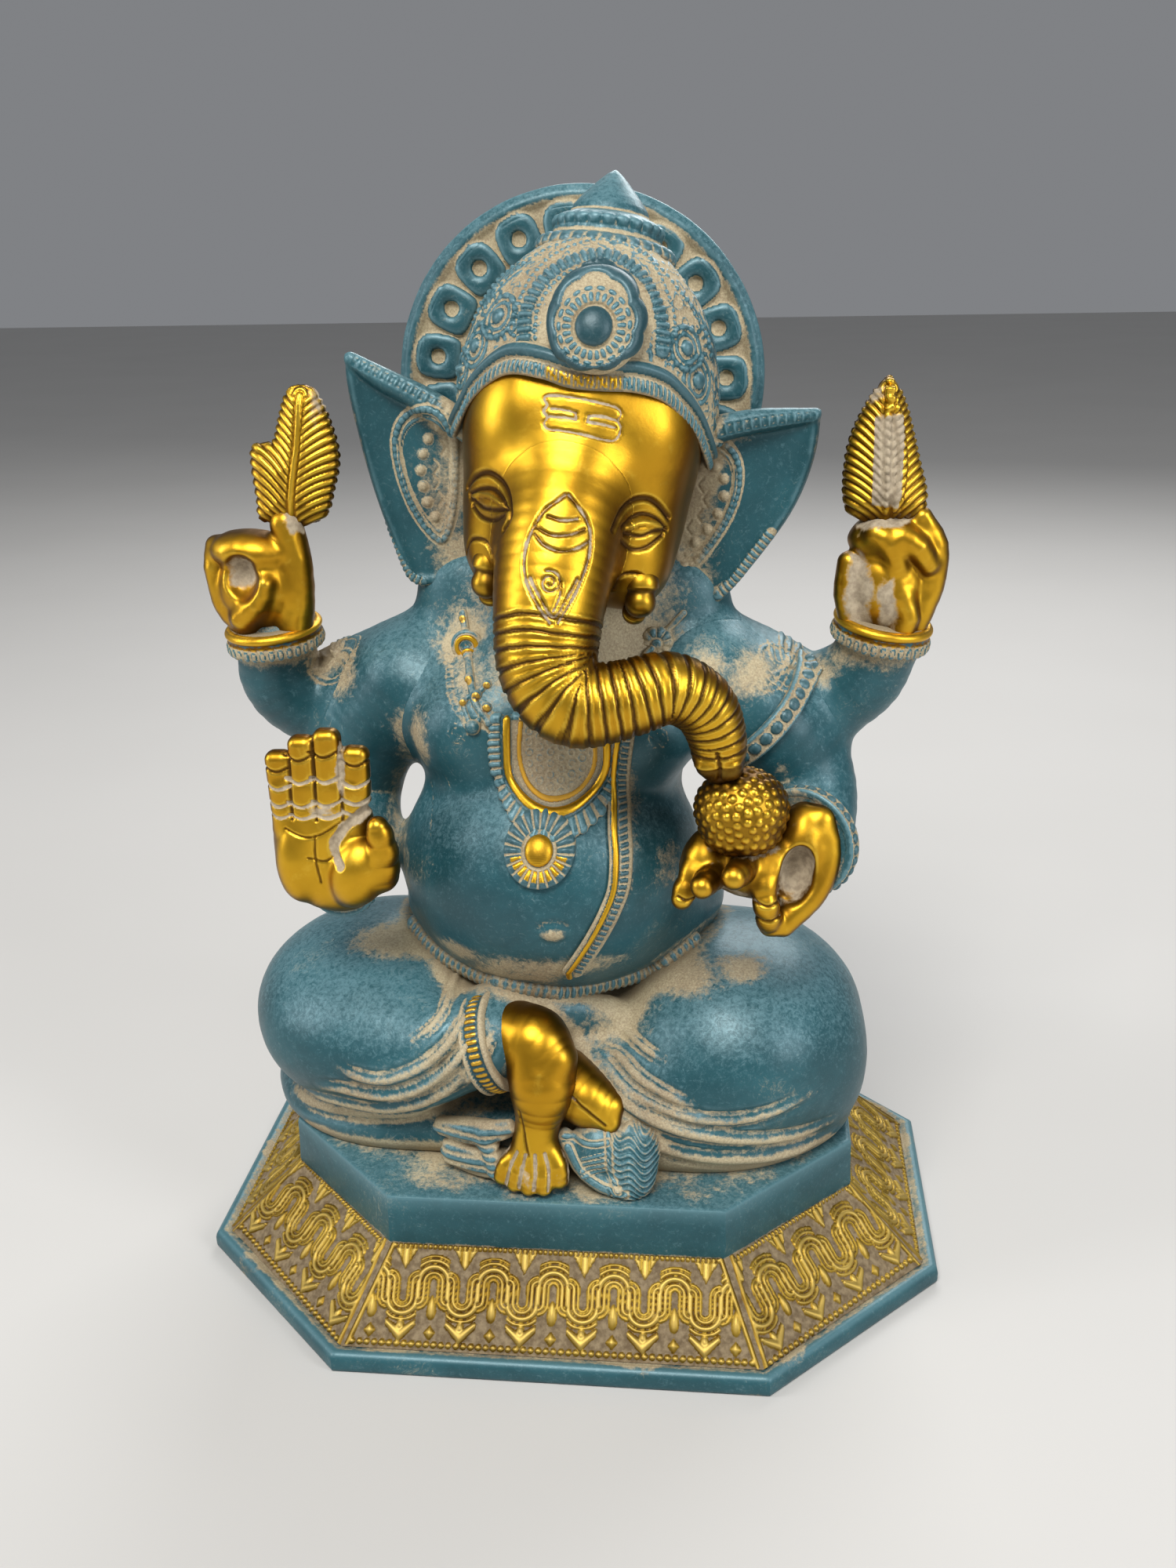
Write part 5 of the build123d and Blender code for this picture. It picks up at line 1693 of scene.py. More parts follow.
class Graph:
    """Short names for building a material's nodes."""

    def __init__(self, name):
        self.material = bpy.data.materials.new(name)
        self.material.use_nodes = True
        self.tree = self.material.node_tree
        self.tree.nodes.clear()
        self.coords = self.node("ShaderNodeTexCoord").outputs["Object"]

    def node(self, kind, **values):
        made = self.tree.nodes.new(kind)
        for key, value in values.items():
            setattr(made, key, value)
        return made

    def put(self, socket, value):
        if isinstance(value, bpy.types.NodeSocket):
            self.tree.links.new(value, socket)
        else:
            socket.default_value = value

    def noise(self, scale, detail=4.0, rough=0.55, distort=0.0):
        n = self.node("ShaderNodeTexNoise")
        self.put(n.inputs["Vector"], self.coords)
        for key, value in (("Scale", scale), ("Detail", detail), ("Roughness", rough),
                           ("Distortion", distort)):
            n.inputs[key].default_value = value
        return n.outputs["Fac"]

    def attribute(self, name):
        return self.node("ShaderNodeAttribute", attribute_name=name).outputs["Fac"]

    def math(self, op, a, b=0.0, clamp=False):
        n = self.node("ShaderNodeMath", operation=op, use_clamp=clamp)
        self.put(n.inputs[0], a)
        self.put(n.inputs[1], b)
        return n.outputs[0]

    def plus(self, a, b):
        return self.math("ADD", a, b)

    def minus(self, a, b):
        return self.math("SUBTRACT", a, b)

    def times(self, a, b):
        return self.math("MULTIPLY", a, b)

    def span(self, value, a, b, c=0.0, d=1.0, smooth_step=True):
        n = self.node("ShaderNodeMapRange", interpolation_type="SMOOTHSTEP" if smooth_step else "LINEAR")
        self.put(n.inputs["Value"], value)
        for key, number in (("From Min", a), ("From Max", b), ("To Min", c), ("To Max", d)):
            n.inputs[key].default_value = number
        return n.outputs["Result"]

    def mix(self, factor, a, b):
        n = self.node("ShaderNodeMix", data_type="RGBA")
        self.put(n.inputs[0], factor)
        for socket, value in ((n.inputs[6], a), (n.inputs[7], b)):
            if isinstance(value, tuple):
                socket.default_value = (*value, 1.0)
            else:
                self.put(socket, value)
        return n.outputs[2]

    def shader(self, color, metallic, roughness, height, distance=0.0003, strength=0.35, coat=0.0):
        b = self.node("ShaderNodeBsdfPrincipled")
        self.put(b.inputs["Base Color"], color)
        self.put(b.inputs["Metallic"], metallic)
        self.put(b.inputs["Roughness"], roughness)
        if coat:
            b.inputs["Coat Weight"].default_value = coat
            b.inputs["Coat Roughness"].default_value = 0.3
        bumps = self.node("ShaderNodeBump")
        bumps.inputs["Strength"].default_value = strength
        bumps.inputs["Distance"].default_value = distance
        self.put(bumps.inputs["Height"], height)
        self.put(b.inputs["Normal"], bumps.outputs[0])
        out = self.node("ShaderNodeOutputMaterial")
        self.put(out.inputs["Surface"], b.outputs[0])
        return self.material


TEAL_DEEP, TEAL, TEAL_PALE = (0.011, 0.066, 0.082), (0.020, 0.102, 0.125), (0.150, 0.290, 0.330)
# Painted shade colour: the dark brown the brass is darkened to in enclosed places (painted shade) and on sides
# turned away from the front (painted dark reflection).
PAINTED_SHADE_BROWN = (0.130, 0.058, 0.005)
BEIGE, BEIGE_DARK = (0.54, 0.455, 0.285), (0.27, 0.20, 0.115)
GOLD, GOLD_PALE, GOLD_BROWN = (0.70, 0.40, 0.026), (0.86, 0.57, 0.065), (0.17, 0.075, 0.008)


def patina(name, wash_bias=0.0, pale=0.0):
    """Teal antique paint: beige wash in the recesses, dry-brushed edges and brass where it is gilded."""
    g = Graph(name)
    broad = g.noise(34.0, 5.0, 0.6, 0.6)
    medium = g.noise(190.0, 7.0, 0.72, 0.5)
    powder = g.noise(760.0, 5.0, 0.75, 0.6)
    fine = g.noise(1900.0, 3.0, 0.7)
    streak = g.noise(330.0, 8.0, 0.8, 3.0)
    open_air = g.attribute("open")
    edge = g.attribute("edge")
    up = g.attribute("up")
    teal = g.mix(g.span(broad, 0.35, 0.68), TEAL_DEEP, TEAL)
    scuff = g.plus(g.times(streak, 0.6), g.times(powder, 0.5))
    scuff = g.plus(scuff, g.times(up, 0.16))
    teal = g.mix(g.times(g.span(scuff, 0.555 - pale, 0.80 - pale), 0.62), teal, TEAL_PALE)
    dust = g.plus(g.times(streak, 0.7), g.times(broad, 0.5))
    teal = g.mix(g.times(g.span(dust, 0.66, 0.86), 0.45), teal, BEIGE)
    teal = g.mix(g.times(g.span(edge, 0.10, 0.75), 0.55), teal, TEAL_PALE)
    hollow = g.span(open_air, 0.30, 0.84, 1.0, 0.0)
    amount = g.plus(g.attribute("wash"), g.times(hollow, 0.50))
    amount = g.plus(amount, g.times(g.span(edge, -0.55, -0.12, 1.0, 0.0), 0.30))
    amount = g.plus(amount, g.times(up, 0.10))
    grain = g.plus(g.times(medium, 0.55), g.times(powder, 0.60))
    broken = g.plus(amount, g.times(g.minus(grain, 0.575), 1.7))
    wash = g.span(broken, 0.36 - wash_bias, 0.80 - wash_bias)
    sand = g.mix(g.span(g.plus(fine, g.times(broad, 0.8)), 0.6, 1.2), BEIGE_DARK, BEIGE)
    # Painted shade: the wash is darkened towards dark beige in enclosed places.
    sand = g.mix(g.times(g.span(open_air, 0.05, 0.42, 1.0, 0.0), 0.6), sand, BEIGE_DARK)
    color = g.mix(g.times(wash, 0.94), teal, sand)
    gold = g.times(g.attribute("gold"), g.span(g.plus(medium, g.times(edge, 0.35)), 0.30, 0.42))
    brass = g.mix(g.span(edge, -0.3, 0.45), GOLD_BROWN, GOLD)
    color = g.mix(gold, color, brass)
    # The dark mask: dark chased lines and darker tones of the pattern, plus a painted shade patch on the belly.
    dark_lines_and_shade = g.times(g.attribute("dark"), 0.8)
    color = g.mix(dark_lines_and_shade, color, (0.010, 0.040, 0.050))
    metallic = g.math("MAXIMUM", g.times(gold, 0.95), g.times(g.minus(1.0, wash), 0.15))
    rough = g.plus(g.times(wash, 0.34), g.plus(g.times(medium, 0.20), 0.30))
    height = g.plus(g.times(medium, 0.5), g.times(fine, 0.5))
    return g.shader(color, metallic, rough, height, 0.00022, 0.4)


def brass_skin(name, painted_shade_reach=0.0, wash_bias=0.0, dull=0.0, tones=None,
               sands=((0.30, 0.24, 0.165), (0.48, 0.40, 0.28))):
    """Hand-polished brass, brown in its lines, washed and duller in enclosed places, with painted shade darkening
    it to brown there and a painted dark reflection on sides turned away from the front.
    """
    g = Graph(name)
    broad = g.noise(30.0, 4.0, 0.55, 0.4)
    medium = g.noise(210.0, 5.0, 0.65, 0.3)
    fine = g.noise(1400.0, 3.0, 0.6)
    open_air = g.attribute("open")
    edge = g.attribute("edge")
    low, full, light = tones or ((0.56, 0.29, 0.018), GOLD, GOLD_PALE)
    metal = g.mix(g.span(broad, 0.35, 0.65), low, full)
    metal = g.mix(g.times(g.span(medium, 0.56, 0.72), 0.35), metal, light)
    metal = g.mix(g.times(g.span(edge, 0.10, 0.6), 0.6), metal, light)
    # Painted dark reflection: the metal turns dark brown on sides turned away from the front, broken up with
    # noise.
    painted_side_reflection = g.plus(g.attribute("side"), g.times(g.minus(medium, 0.5), 0.5))
    metal = g.mix(g.times(g.span(painted_side_reflection, 0.05, 0.80), 0.85), metal, PAINTED_SHADE_BROWN)
    # Painted shade: enclosed places are darkened to dark brown, and a larger second argument widens how far it
    # reaches. The same factor also adds wash and roughness there.
    enclosed_shade = g.span(g.plus(open_air, g.times(g.minus(medium, 0.5), 0.35)), 0.25, 0.80 + painted_shade_reach, 1.0, 0.0)
    metal = g.mix(g.times(enclosed_shade, 0.85), metal, PAINTED_SHADE_BROWN)
    metal = g.mix(g.times(g.span(edge, -0.55, -0.10, 1.0, 0.0), 0.75), metal, GOLD_BROWN)
    lines = g.attribute("dark")
    metal = g.mix(g.times(lines, 0.9), metal, (0.045, 0.020, 0.006))
    amount = g.plus(g.attribute("wash"), g.times(enclosed_shade, 0.30))
    broken = g.plus(amount, g.times(g.minus(medium, 0.5), 1.3))
    wash = g.span(broken, 0.50 - wash_bias, 0.78 - wash_bias)
    sand = g.mix(g.span(g.noise(600.0, 4.0, 0.6), 0.3, 0.7), *sands)
    color = g.mix(wash, metal, sand)
    metallic = g.math("SUBTRACT", 1.0, g.plus(g.times(wash, 0.9), g.times(lines, 0.1)), True)
    rough = g.plus(g.times(wash, 0.35), g.plus(g.times(medium, 0.16), 0.29 + dull))
    rough = g.plus(rough, g.times(enclosed_shade, 0.12))
    height = g.plus(g.times(medium, 0.6), g.times(fine, 0.4))
    return g.shader(color, metallic, rough, height, 0.00015, 0.25)


def steel(name):
    """Plain turned steel."""
    g = Graph(name)
    grain = g.noise(1200.0, 4.0, 0.6, 0.3)
    color = g.mix(g.span(grain, 0.4, 0.6), (0.40, 0.40, 0.41), (0.60, 0.60, 0.62))
    return g.shader(color, 1.0, g.plus(g.times(grain, 0.25), 0.25), grain, 0.0001, 0.3)


PATINA = patina("teal_patina")
PATINA_WASHED = patina("teal_patina_washed", 0.02, 0.03)
BRASS = brass_skin("polished_brass")
# Brass with more wash and a wider painted shade in enclosed places than the plain brass.
BRASS_WASHED_SHADED = brass_skin("polished_brass_washed_shaded", 0.08, 0.08)
BAND = brass_skin("chased_band", 0.10, 0.0, 0.16, ((0.22, 0.13, 0.016), (0.36, 0.235, 0.035),
                                                   (0.62, 0.45, 0.13)),
                  ((0.13, 0.090, 0.048), (0.27, 0.205, 0.12)))
STEEL = steel("screw_steel")


# ============================== building

def neighbours_mean(p, quads, n):
    """For each vertex, the mean of the vertices it shares edges with."""
    total = np.zeros((n, p.shape[1]))
    count = np.zeros(n)
    for k in range(4):
        a, b = quads[:, k], quads[:, (k + 1) % 4]
        count += np.bincount(a, minlength=n)
        for c in range(p.shape[1]):
            total[:, c] += np.bincount(a, weights=p[b, c], minlength=n)
    return total / np.maximum(count, 1)[:, None]


def add_mesh(name, p, faces, masks, material, sharp=None):
    mesh = bpy.data.meshes.new(name)
    mesh.vertices.add(len(p))
    mesh.vertices.foreach_set("co", (np.asarray(p, np.float32) * MM).ravel())
    sizes = np.array([len(f) for f in faces])
    flat = np.concatenate(faces) if isinstance(faces, list) else faces.ravel()
    mesh.loops.add(int(sizes.sum()))
    mesh.loops.foreach_set("vertex_index", flat.astype(np.int32))
    mesh.polygons.add(len(sizes))
    mesh.polygons.foreach_set("loop_start", (np.cumsum(sizes) - sizes).astype(np.int32))
    mesh.polygons.foreach_set("use_smooth", np.ones(len(sizes), bool))
    mesh.update(calc_edges=True)
    for key, values in masks.items():
        layer = mesh.attributes.new(key, "FLOAT", "POINT")
        layer.data.foreach_set("value", np.asarray(values, np.float32))
    if sharp:
        mesh.set_sharp_from_angle(angle=math.radians(sharp))
    mesh.materials.append(material)
    made = bpy.data.objects.new(name, mesh)
    bpy.context.scene.collection.objects.link(made)
    return made


def outward(p, quads):
    """The quads with their fronts outside."""
    a, b, c, d = (p[quads[:, k]] for k in range(4))
    volume = (np.cross(b - a, c - a) * a).sum() + (np.cross(c - a, d - a) * a).sum()
    return quads if volume > 0 else quads[:, ::-1]


def sculpt(name, size, detail, material, nodes=None, rough=0.10):
    """Mesh a casting, lay its relief on it and add it to the scene."""
    field = SOLID[name]
    p, quads = largest(*mesh_of(field, size))
    quads = outward(p, quads)
    n = gradient(field, p)[0]
    skin = Skin(p, n)
    detail(skin)
    skin.h = skin.h + rough * hash_noise(p, 7.0, 2) + 0.4 * rough * hash_noise(p, 2.6, 6)
    q = p + n * skin.h[:, None]
    shade = openness(p, n)
    mean = neighbours_mean(q, quads, len(q))
    edge = ((q - mean) * n).sum(1) / (size * FINE) * 6.0
    edge = edge[:, None]
    for turn in range(2):
        edge = 0.5 * edge + 0.5 * neighbours_mean(edge, quads, len(q))
    sharpest = 0.10 if name in BODY else 1  # the body's castings flow into each other without a bright seam
    masks = {
        "wash": np.clip(skin.wash, 0, 1),
        "gold": np.clip(skin.gold, 0, 1),
        "dark": np.clip(skin.dark, 0, 1),
        # open: how enclosed each point is; it adds wash there and drives the painted shade in enclosed places.
        "open": np.clip(shade, 0, 1),
        "edge": np.clip(edge[:, 0], -1, sharpest),
        "up": smooth(n[:, 2], 0.1, 0.95),
        # side: painted dark reflection, strongest on surfaces turned away from the front and not facing up; the
        # brass is darkened to brown there.
        "side": 1 - smooth(-n[:, 1] + 0.30 * n[:, 2], 0.28, 0.98),
    }
    made = add_mesh(name + "_cast", q, quads, masks, material)
    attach(made, "root")
    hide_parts(*(nodes or [name]))
    print("made", name, len(quads), "quads")
    return made


def both_skins(*works):
    """Several details one after the other."""
    def work(s):
        for w in works:
            w(s)
    return work


sculpt("torso", 0.78, torso_skin, PATINA)
for arm in BODY[1:]:
    sculpt(arm, 0.62, both_skins(arm_skin, shoulder_motif), PATINA)
sculpt("crossed_legs", 0.80, legs_skin, PATINA)
sculpt("head", 0.42, face, BRASS, rough=0.05)
sculpt("trunk", 0.42, both_skins(face, trunk_rings), BRASS, rough=0.05)
sculpt("right_tusk", 0.35, tusk_rings, BRASS, rough=0.05)
sculpt("left_tusk", 0.35, tusk_rings, BRASS, rough=0.05)
sculpt("right_ear", 0.36, ear_skin(-1), PATINA)
sculpt("left_ear", 0.36, ear_skin(1), PATINA)
sculpt("crown", 0.42, crown_skin, PATINA_WASHED, rough=0.05)
sculpt("crown_band", 0.42, band_skin, PATINA_WASHED, rough=0.05)
sculpt("crown_medallion", 0.26, medallion_skin, PATINA_WASHED, rough=0.04)
sculpt("crown_finial", 0.38, finial_skin, PATINA_WASHED, rough=0.06)
sculpt("halo", 0.48, halo_skin, PATINA_WASHED)
sculpt("blessing_hand", 0.36, palm_skin, BRASS_WASHED_SHADED, rough=0.06)
sculpt("offering_hand", 0.36, offering_skin, BRASS_WASHED_SHADED, rough=0.06)
sculpt("sweet_ball", 0.30, sweet_skin, BRASS, rough=0.03)
sculpt("rear_right_hand", 0.36, fist_skin(-1), BRASS_WASHED_SHADED)
sculpt("rear_left_hand", 0.36, fist_skin(1), BRASS_WASHED_SHADED)
sculpt("right_hand_leaf", 0.30, leaf_skin(-1), BRASS_WASHED_SHADED, rough=0.05)
sculpt("left_hand_bud", 0.30, leaf_skin(1), BRASS_WASHED_SHADED, rough=0.05)
sculpt("rear_right_cuff", 0.32, cuff_skin("rear_right_cuff"), PATINA_WASHED)
sculpt("rear_left_cuff", 0.32, cuff_skin("rear_left_cuff"), PATINA_WASHED)
sculpt("front_right_bracelet", 0.30, beaded_skin("front_right_bracelet"), PATINA_WASHED)
sculpt("front_left_bracelet", 0.34, beaded_skin("front_left_bracelet"), PATINA_WASHED)
sculpt("left_armlet", 0.36, beaded_skin("left_armlet"), PATINA_WASHED)
sculpt("anklet", 0.32, anklet_skin, PATINA_WASHED)
sculpt("right_foot", 0.36, foot_skin, BRASS_WASHED_SHADED, rough=0.05)
sculpt("left_foot", 0.36, leftfoot_skin, BRASS_WASHED_SHADED, rough=0.05)
sculpt("mouse", 0.32, mouse_skin, PATINA_WASHED, rough=0.05)
sculpt("cloth_end", 0.36, cloth_skin, PATINA_WASHED)
sculpt("necklace", 0.26, necklace_skin, PATINA_WASHED, rough=0.03)
sculpt("pendant", 0.24, pendant_skin, PATINA_WASHED, rough=0.03)
sculpt("sacred_thread", 0.26, thread_skin, PATINA_WASHED, rough=0.03)
sculpt("chest_jewels", 0.22, jewels_skin, PATINA_WASHED, nodes=["necklace"], rough=0.03)
sculpt("chest_rosette", 0.24, rosette_skin, PATINA_WASHED, nodes=["sacred_thread"], rough=0.03)
sculpt("waist_belt", 0.30, belt_skin, PATINA_WASHED, rough=0.03)


# ============================== base

RIM = [(54.7, HALF_DEPTH), (HALF_WIDTH, 35.1)]
CORNER_SUM = 135.3  # x plus y along the rim's four cut corners
DAIS = [(43.2, 58.6), (76.3, 25.0)]


def octagon(corners):
    """All eight corners from the two of one quadrant."""
    (ax, ay), (bx, by) = corners
    right_half = np.array([(ax, -ay), (bx, -by), (bx, by), (ax, ay)], float)
    return np.concatenate([right_half, -right_half])


def inset(verts, d):
    """An octagon moved inwards by d on every side."""
    out = []
    n = len(verts)
    for i in range(n):
        a, b, c = verts[i - 1], verts[i], verts[(i + 1) % n]
        e1, e2 = (b - a) / np.linalg.norm(b - a), (c - b) / np.linalg.norm(c - b)
        n1, n2 = np.array((-e1[1], e1[0])), np.array((-e2[1], e2[0]))
        m = n1 + n2
        out.append(b + m * d / (1 + n1 @ n2))
    return np.array(out)


def ring_points(verts, step=0.8):
    """The octagon cut into short lengths, with its corners kept."""
    pts = []
    n = len(verts)
    lengths = [np.linalg.norm(RIM_OUT[(i + 1) % n] - RIM_OUT[i]) for i in range(n)]
    counts = [max(2, int(round(length / (step * FINE)))) for length in lengths]
    for i in range(n):
        a, b = verts[i], verts[(i + 1) % n]
        for t in np.arange(counts[i]) / counts[i]:
            pts.append(a + (b - a) * t)
    return np.array(pts)


RIM_OUT = octagon(RIM)


def moulding(name, base_verts, profile, nodes, paint, capped=False, step=0.8):
    """A mitred moulding: profile pairs are (inset, z), carried round the octagon."""
    rings = []
    for d, z in profile:
        flat = ring_points(inset(base_verts, d), step)
        rings.append(np.column_stack([flat, np.full(len(flat), z)]))
    m = len(rings[0])
    p = np.concatenate(rings)
    quads = []
    count = len(profile)
    i = np.arange(m)
    j = (i + 1) % m
    for k in range(count - 1 if capped else count):
        a, b = k * m, ((k + 1) % count) * m
        quads.append(np.column_stack([a + i, a + j, b + j, b + i]))
    quads = np.concatenate(quads)
    faces = quads
    if capped:
        faces = [list(q) for q in quads] + [list(range((count - 1) * m, count * m)), list(range(m))[::-1]]
    masks = {key: np.zeros(len(p)) for key in ("wash", "gold", "dark", "edge", "up", "side")}
    masks["open"] = np.ones(len(p))
    paint(p, masks)
    made = add_mesh(name, p, faces, masks, PATINA, sharp=40)
    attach(made, "root")
    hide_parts(*nodes)


def rim_paint(p, masks):
    """Wash in the rim's gutter, under its foot and in patches."""
    x, y = np.abs(p[:, 0]), np.abs(p[:, 1])
    inward = -np.maximum(np.maximum(x - HALF_WIDTH, y - HALF_DEPTH), (x + y - CORNER_SUM) / math.sqrt(2))
    patches = bump((hash_noise(floats(p), 9.0, 41) - 0.6) / 0.3)
    masks["wash"] = 0.25 * (p[:, 2] < 1.2) + 0.62 * smooth(inward, 1.2, 2.6) + 0.45 * patches
    masks["edge"] = 0.6 * bump((p[:, 2] - 4.9) / 0.9)


rim_profile = [(0.55, 0.0), (0.12, 0.4), (0.0, 1.2), (0.0, 3.2), (0.25, 4.3), (0.9, 5.05), (1.7, 5.3),
               (2.6, 5.15), (3.3, 4.7), (3.9, 4.3), (5.6, 4.3), (6.4, 2.0), (6.4, 0.0), (4.0, 0.0),
               (2.0, 0.0)]
moulding("skirt_rim", RIM_OUT, rim_profile, ["base_skirt"], rim_paint)


def wave_distance(x, y, period, leg):
    """Distance to a meander of half rounds joined by straight legs."""
    r = period / 4
    x = np.mod(x + r, period) - r
    crest = x < r
    u = np.where(crest, x, x - period / 2)
    v = np.where(crest, y, -y) - leg
    below = np.minimum(v + 2 * leg, 0)
    return np.where(v > 0, np.abs(np.sqrt(u * u + v * v) - r), np.sqrt((np.abs(u) - r) ** 2 + below ** 2))


def meander_lines(d, y, high):
    """Three lines side by side along the meander, cut off at the foot, the outer ones higher up."""
    lines = np.zeros_like(y)
    for offset, width, rise in ((0.0, 0.80, 1.0), (1.50, 0.56, 0.8), (2.60, 0.46, 0.62)):
        foot = high * (0.17 + 0.055 * offset)
        lines = np.maximum(lines, rise * smooth(y, foot, foot + 0.8) * rounded((d - offset) / width))
    return lines


def leaf_pair(x, y):
    """Two leaves in a V with a bud between them."""
    vee = np.abs(y - 0.85 * x - 0.4) * 0.76
    leaves = rounded(vee / (1.35 - 0.16 * x)) * (x < 4.4) * (y > -0.9)
    return np.maximum(leaves, np.clip(1 - np.sqrt((x / 1.1) ** 2 + ((y - 2.6) / 1.7) ** 2), 0, 1) ** 0.5)


def teardrop(x, y):
    return np.clip(1 - np.sqrt((x / (1.25 - 0.12 * y)) ** 2 + (y / 3.3) ** 2), 0, 1) ** 0.5


def lozenge(x, y):
    return np.clip(1 - (x / 1.7 + np.abs(y) / 2.0), 0, 1) ** 0.5


def chased(x, y, high, period):
    """The band's relief: x along from the middle, y up from the rim. Returns height and gilt."""
    d = wave_distance(x, y - high * 0.56, period, high * 0.075)
    clear = d > 1.9
    shifted = np.mod(x + period / 4, period) - period / 4
    from_trough = np.abs(np.where(shifted > period / 4, shifted - period / 2, 99.0))
    from_crest = np.abs(np.where(shifted <= period / 4, shifted, 99.0))
    h = 0.85 * meander_lines(d, y, high)
    h = np.maximum(h, 1.05 * leaf_pair(from_trough, y - high * 0.115))
    h = np.maximum(h, 0.9 * teardrop(from_crest, y - high * 0.40) * clear)
    h = np.maximum(h, 0.8 * lozenge(from_crest, y - high * 0.165))
    hanging = high * 0.955 - y
    spike_length = 5.2
    spike = (from_trough < 2.9 * (1 - hanging / spike_length)) & (hanging > 0) & (hanging < spike_length)
    h = np.maximum(h, 0.75 * spike * clear)
    h -= 0.4 * np.exp(-((from_trough - 1.0) / 0.35) ** 2) * spike
    bead = rounded(np.sqrt((np.mod(x, 1.9) - 0.95) ** 2 + (y - high * 0.055) ** 2) / 0.85)
    h = np.maximum(h, 0.75 * bead)
    tick = (0.5 + 0.5 * np.cos(2 * PI * x / 1.3)) * bump((y - high * 0.978) / 0.8)
    h = np.maximum(h, 0.7 * np.sqrt(tick))
    return h, smooth(h, 0.18, 0.42)


def band_panel(index, a, b, c, d, period):
    """One sloping side of the skirt: outer edge a-b at the rim, inner edge d-c at the dais."""
    a, b, c, d = (np.array(v, float) for v in (a, b, c, d))
    along = (b - a) / np.linalg.norm(b - a)
    middle = (a + b) / 2
    rise = (c + d) / 2 - middle
    high = np.linalg.norm(rise)
    up = rise / high
    normal = np.cross(along, up)
    step = 0.34 * FINE
    nu, nv = int(np.linalg.norm(b - a) / step), int(high / step)
    u, v = np.meshgrid(np.linspace(0, 1, nu + 1), np.linspace(0, 1, nv + 1), indexing="ij")
    u, v = u.ravel()[:, None], v.ravel()[:, None]
    p = (a * (1 - u) + b * u) * (1 - v) + (d * (1 - u) + c * u) * v
    x = (p - middle) @ along
    y = (p - middle) @ up
    half = ((np.linalg.norm(b - a) * (1 - v) + np.linalg.norm(c - d) * v) / 2).ravel()
    side = half - np.abs(x)
    h, gilt = chased(x, y, high, period)
    inside = smooth(side, 0.5, 1.4)
    mitre = rounded((side - 1.2) / 0.7)
    h = np.maximum(h * inside, 0.6 * mitre)
    gilt = np.maximum(gilt * inside, 0.7 * mitre)
    h += 0.08 * hash_noise(floats(p), 2.5, 51) * inside
    h *= smooth(side, 0.0, 0.4)
    q = p + normal * h[:, None]
    grid = np.arange((nu + 1) * (nv + 1)).reshape(nu + 1, nv + 1)
    corners = (grid[:-1, :-1], grid[1:, :-1], grid[1:, 1:], grid[:-1, 1:])
    top = np.column_stack([corner.ravel() for corner in corners])
    under = [v - normal * 2.4 for v in (a, b, c, d)]
    under[0], under[1] = under[0] + up * 1.2, under[1] + up * 1.2
    n0 = len(q)
    pts = np.concatenate([q, under])
    low_a, low_b, low_c, low_d = range(n0, n0 + 4)
    faces = [list(f) for f in top]
    faces.append([low_a, low_d, low_c, low_b])
    faces.append([low_a, low_b] + list(grid[::-1, 0]))
    faces.append([low_b, low_c] + list(grid[-1, ::-1]))
    faces.append([low_c, low_d] + list(grid[:, -1]))
    faces.append([low_d, low_a] + list(grid[0, :]))
    masks = {
        "wash": np.append(np.clip(0.70 - 0.95 * gilt, 0, 1) + 0.5 * (y < 0.35), np.zeros(4)),
        "gold": np.append(gilt, np.zeros(4)),
        "dark": np.append(0.75 * smooth(0.5 - np.abs(gilt - 0.35), 0.2, 0.5) * (h < 0.5), np.zeros(4)),
        "edge": np.append(np.clip(h * 1.2 - 0.35, -0.4, 1), np.zeros(4)),
        # The low ground counts as half enclosed, so the brass there gets the painted shade.
        "open": np.append(0.5 + 0.5 * smooth(h, 0.0, 0.5), np.ones(4)),
    }
    made = add_mesh("skirt_panel_" + str(index), pts, faces, masks, BAND, sharp=75)
    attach(made, "root")
    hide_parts("base_skirt")


panel_out, panel_in = inset(RIM_OUT, 4.2), octagon(DAIS)
LEDGE = 4.6  # where the panels' lower edge sits behind the rim
MEANDER_PERIOD = 15.4
for i in range(8):
    j = (i + 1) % 8
    low = [(*panel_out[k], LEDGE) for k in (i, j)]
    top = [(*panel_in[k], SKIRT_TOP) for k in (i, j)]
    band_panel(i, low[0], low[1], top[1], top[0], MEANDER_PERIOD)


def dais_paint(p, masks):
    """Wash round the seated figure and along the foot of the dais."""
    q = floats(p)
    r = np.sqrt((q[:, 0] / 64) ** 2 + ((q[:, 1] + 4) / 47) ** 2)
    on_top = q[:, 2] > DAIS_TOP - 0.3
    masks["wash"] = on_top * np.clip(smooth(1.34 - r + 0.10 * hash_noise(q, 9.0, 61), 0.0, 0.46), 0, 1) * 0.80
    masks["wash"] = np.maximum(masks["wash"], 0.7 * smooth(SKIRT_TOP + 1.5 - q[:, 2], 0, 1.4))
    masks["edge"] = 0.75 * bump((q[:, 2] - DAIS_TOP + 0.6) / 0.9) * (r > 1.0)
    masks["up"] = 0.8 * on_top


dais_profile = [(0.2, 20.5), (0.0, SKIRT_TOP), (-0.25, 24.0), (0.0, 30.0), (0.1, 36.0), (0.35, 36.75),
                (0.9, 37.08)]
dais_profile += [(1.6 + k, DAIS_TOP) for k in range(24)]
moulding("dais_block", octagon(DAIS), dais_profile, ["dais_wall", "dais_plate"], dais_paint, capped=True,
         step=1.0)

screws = bpy.data.objects["seat_screws"]
screws.data.materials.clear()
screws.data.materials.append(STEEL)


# ============================== stage, light and camera

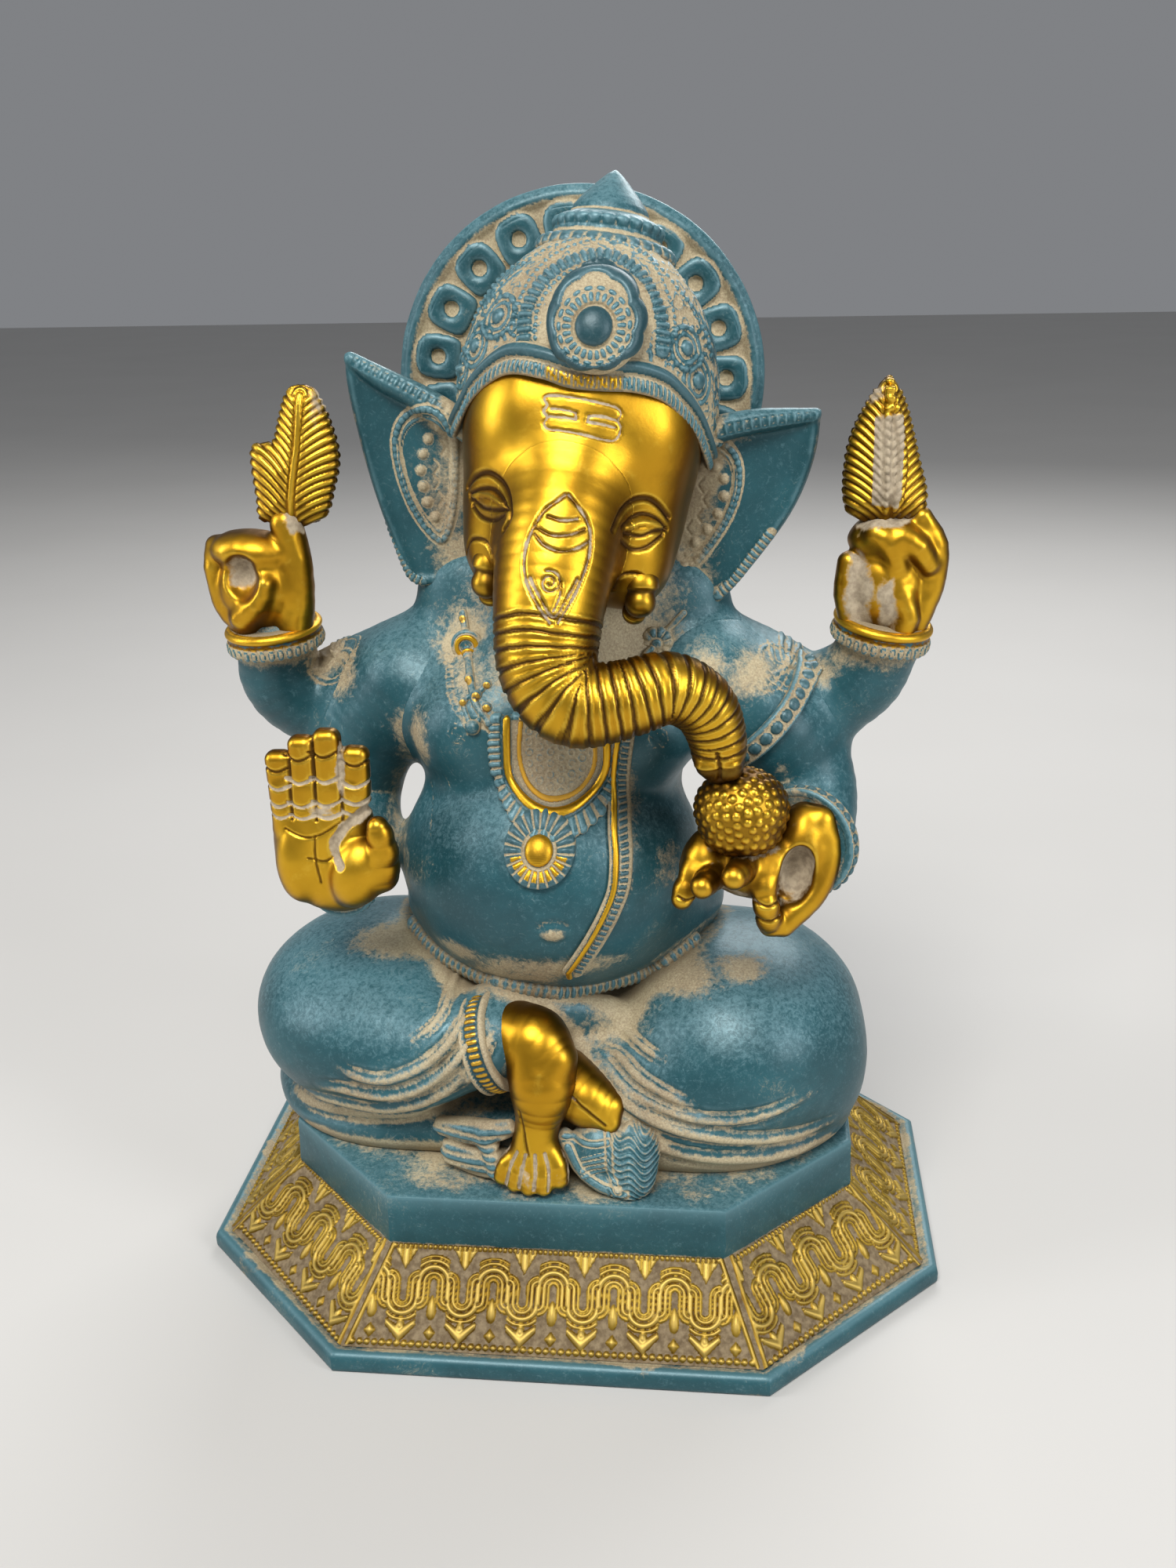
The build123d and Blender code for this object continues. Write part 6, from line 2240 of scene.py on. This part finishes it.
floor_mesh = bpy.data.meshes.new("floor")
floor_mesh.from_pydata([(-4, -4, 0), (4, -4, 0), (4, 4, 0), (-4, 4, 0)], [], [(0, 1, 2, 3)])
floor = bpy.data.objects.new("floor", floor_mesh)
bpy.context.scene.collection.objects.link(floor)
stage_look = Graph("stage_pale")
pale = stage_look.mix(stage_look.noise(6.0, 2.0), (0.52, 0.51, 0.49), (0.56, 0.55, 0.53))
floor_mesh.materials.append(stage_look.shader(pale, 0.0, 0.75, stage_look.noise(60.0), 0.0005, 0.05))
floor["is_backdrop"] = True


def area(name, position, target, size, power, color=(1, 1, 1)):
    light = bpy.data.lights.new(name, "AREA")
    light.shape = "RECTANGLE"
    light.size, light.size_y = size
    light.energy = power
    light.color = color
    lamp = bpy.data.objects.new(name, light)
    bpy.context.scene.collection.objects.link(lamp)
    lamp.location = position
    lamp.rotation_euler = (Vector(target) - Vector(position)).to_track_quat("-Z", "Y").to_euler()


area("key", (-0.10, -0.70, 1.10), (0, 0, 0.15), (0.55, 0.42), 13.5, (1.0, 0.98, 0.95))
area("fill", (1.00, -0.60, 0.60), (0, 0, 0.13), (0.35, 0.7), 6.5, (0.95, 0.97, 1.0))
area("left_strip", (-0.95, -0.30, 0.55), (0, 0, 0.13), (0.25, 0.7), 4.0, (0.97, 0.98, 1.0))
area("back", (0.2, 0.85, 0.8), (0, 0, 0.18), (0.8, 0.4), 7.0)
world = bpy.data.worlds.new("studio")
world.use_nodes = True
world.node_tree.nodes["Background"].inputs[0].default_value = (0.72, 0.74, 0.78, 1)
world.node_tree.nodes["Background"].inputs[1].default_value = 0.30
bpy.context.scene.world = world

ROUND, ABOVE, ROLL = math.radians(6.22), math.radians(20.82), math.radians(-1.21)
LOOK_AT_HEIGHT, DISTANCE = 150, 390.8
SHIFT_RIGHT, SHIFT_UP = 4.40, -20.20
back = Vector((math.sin(ROUND) * math.cos(ABOVE), -math.cos(ROUND) * math.cos(ABOVE), math.sin(ABOVE)))
right = Vector((math.cos(ROUND), math.sin(ROUND), 0))
up = back.cross(right)
right_r = right * math.cos(ROLL) + up * math.sin(ROLL)
up_r = up * math.cos(ROLL) - right * math.sin(ROLL)
place = Vector((0, 0, LOOK_AT_HEIGHT)) + back * DISTANCE + right * SHIFT_RIGHT + up * SHIFT_UP
cam_data = bpy.data.cameras.new("photo_angle")
cam_data.lens = 34.2
cam_data.clip_start = 0.01
cam = bpy.data.objects.new("photo_angle", cam_data)
bpy.context.scene.collection.objects.link(cam)
cam.matrix_world = Matrix((
    (right_r.x, up_r.x, back.x, place.x * MM), (right_r.y, up_r.y, back.y, place.y * MM),
    (right_r.z, up_r.z, back.z, place.z * MM), (0, 0, 0, 1)))
bpy.context.scene.camera = cam
bpy.context.scene.view_settings.view_transform = "Standard"

sizes = {"cad": [list(map(float, v)) for v in CAD_BOUNDS], "scene": [list(map(float, v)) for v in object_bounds()]}
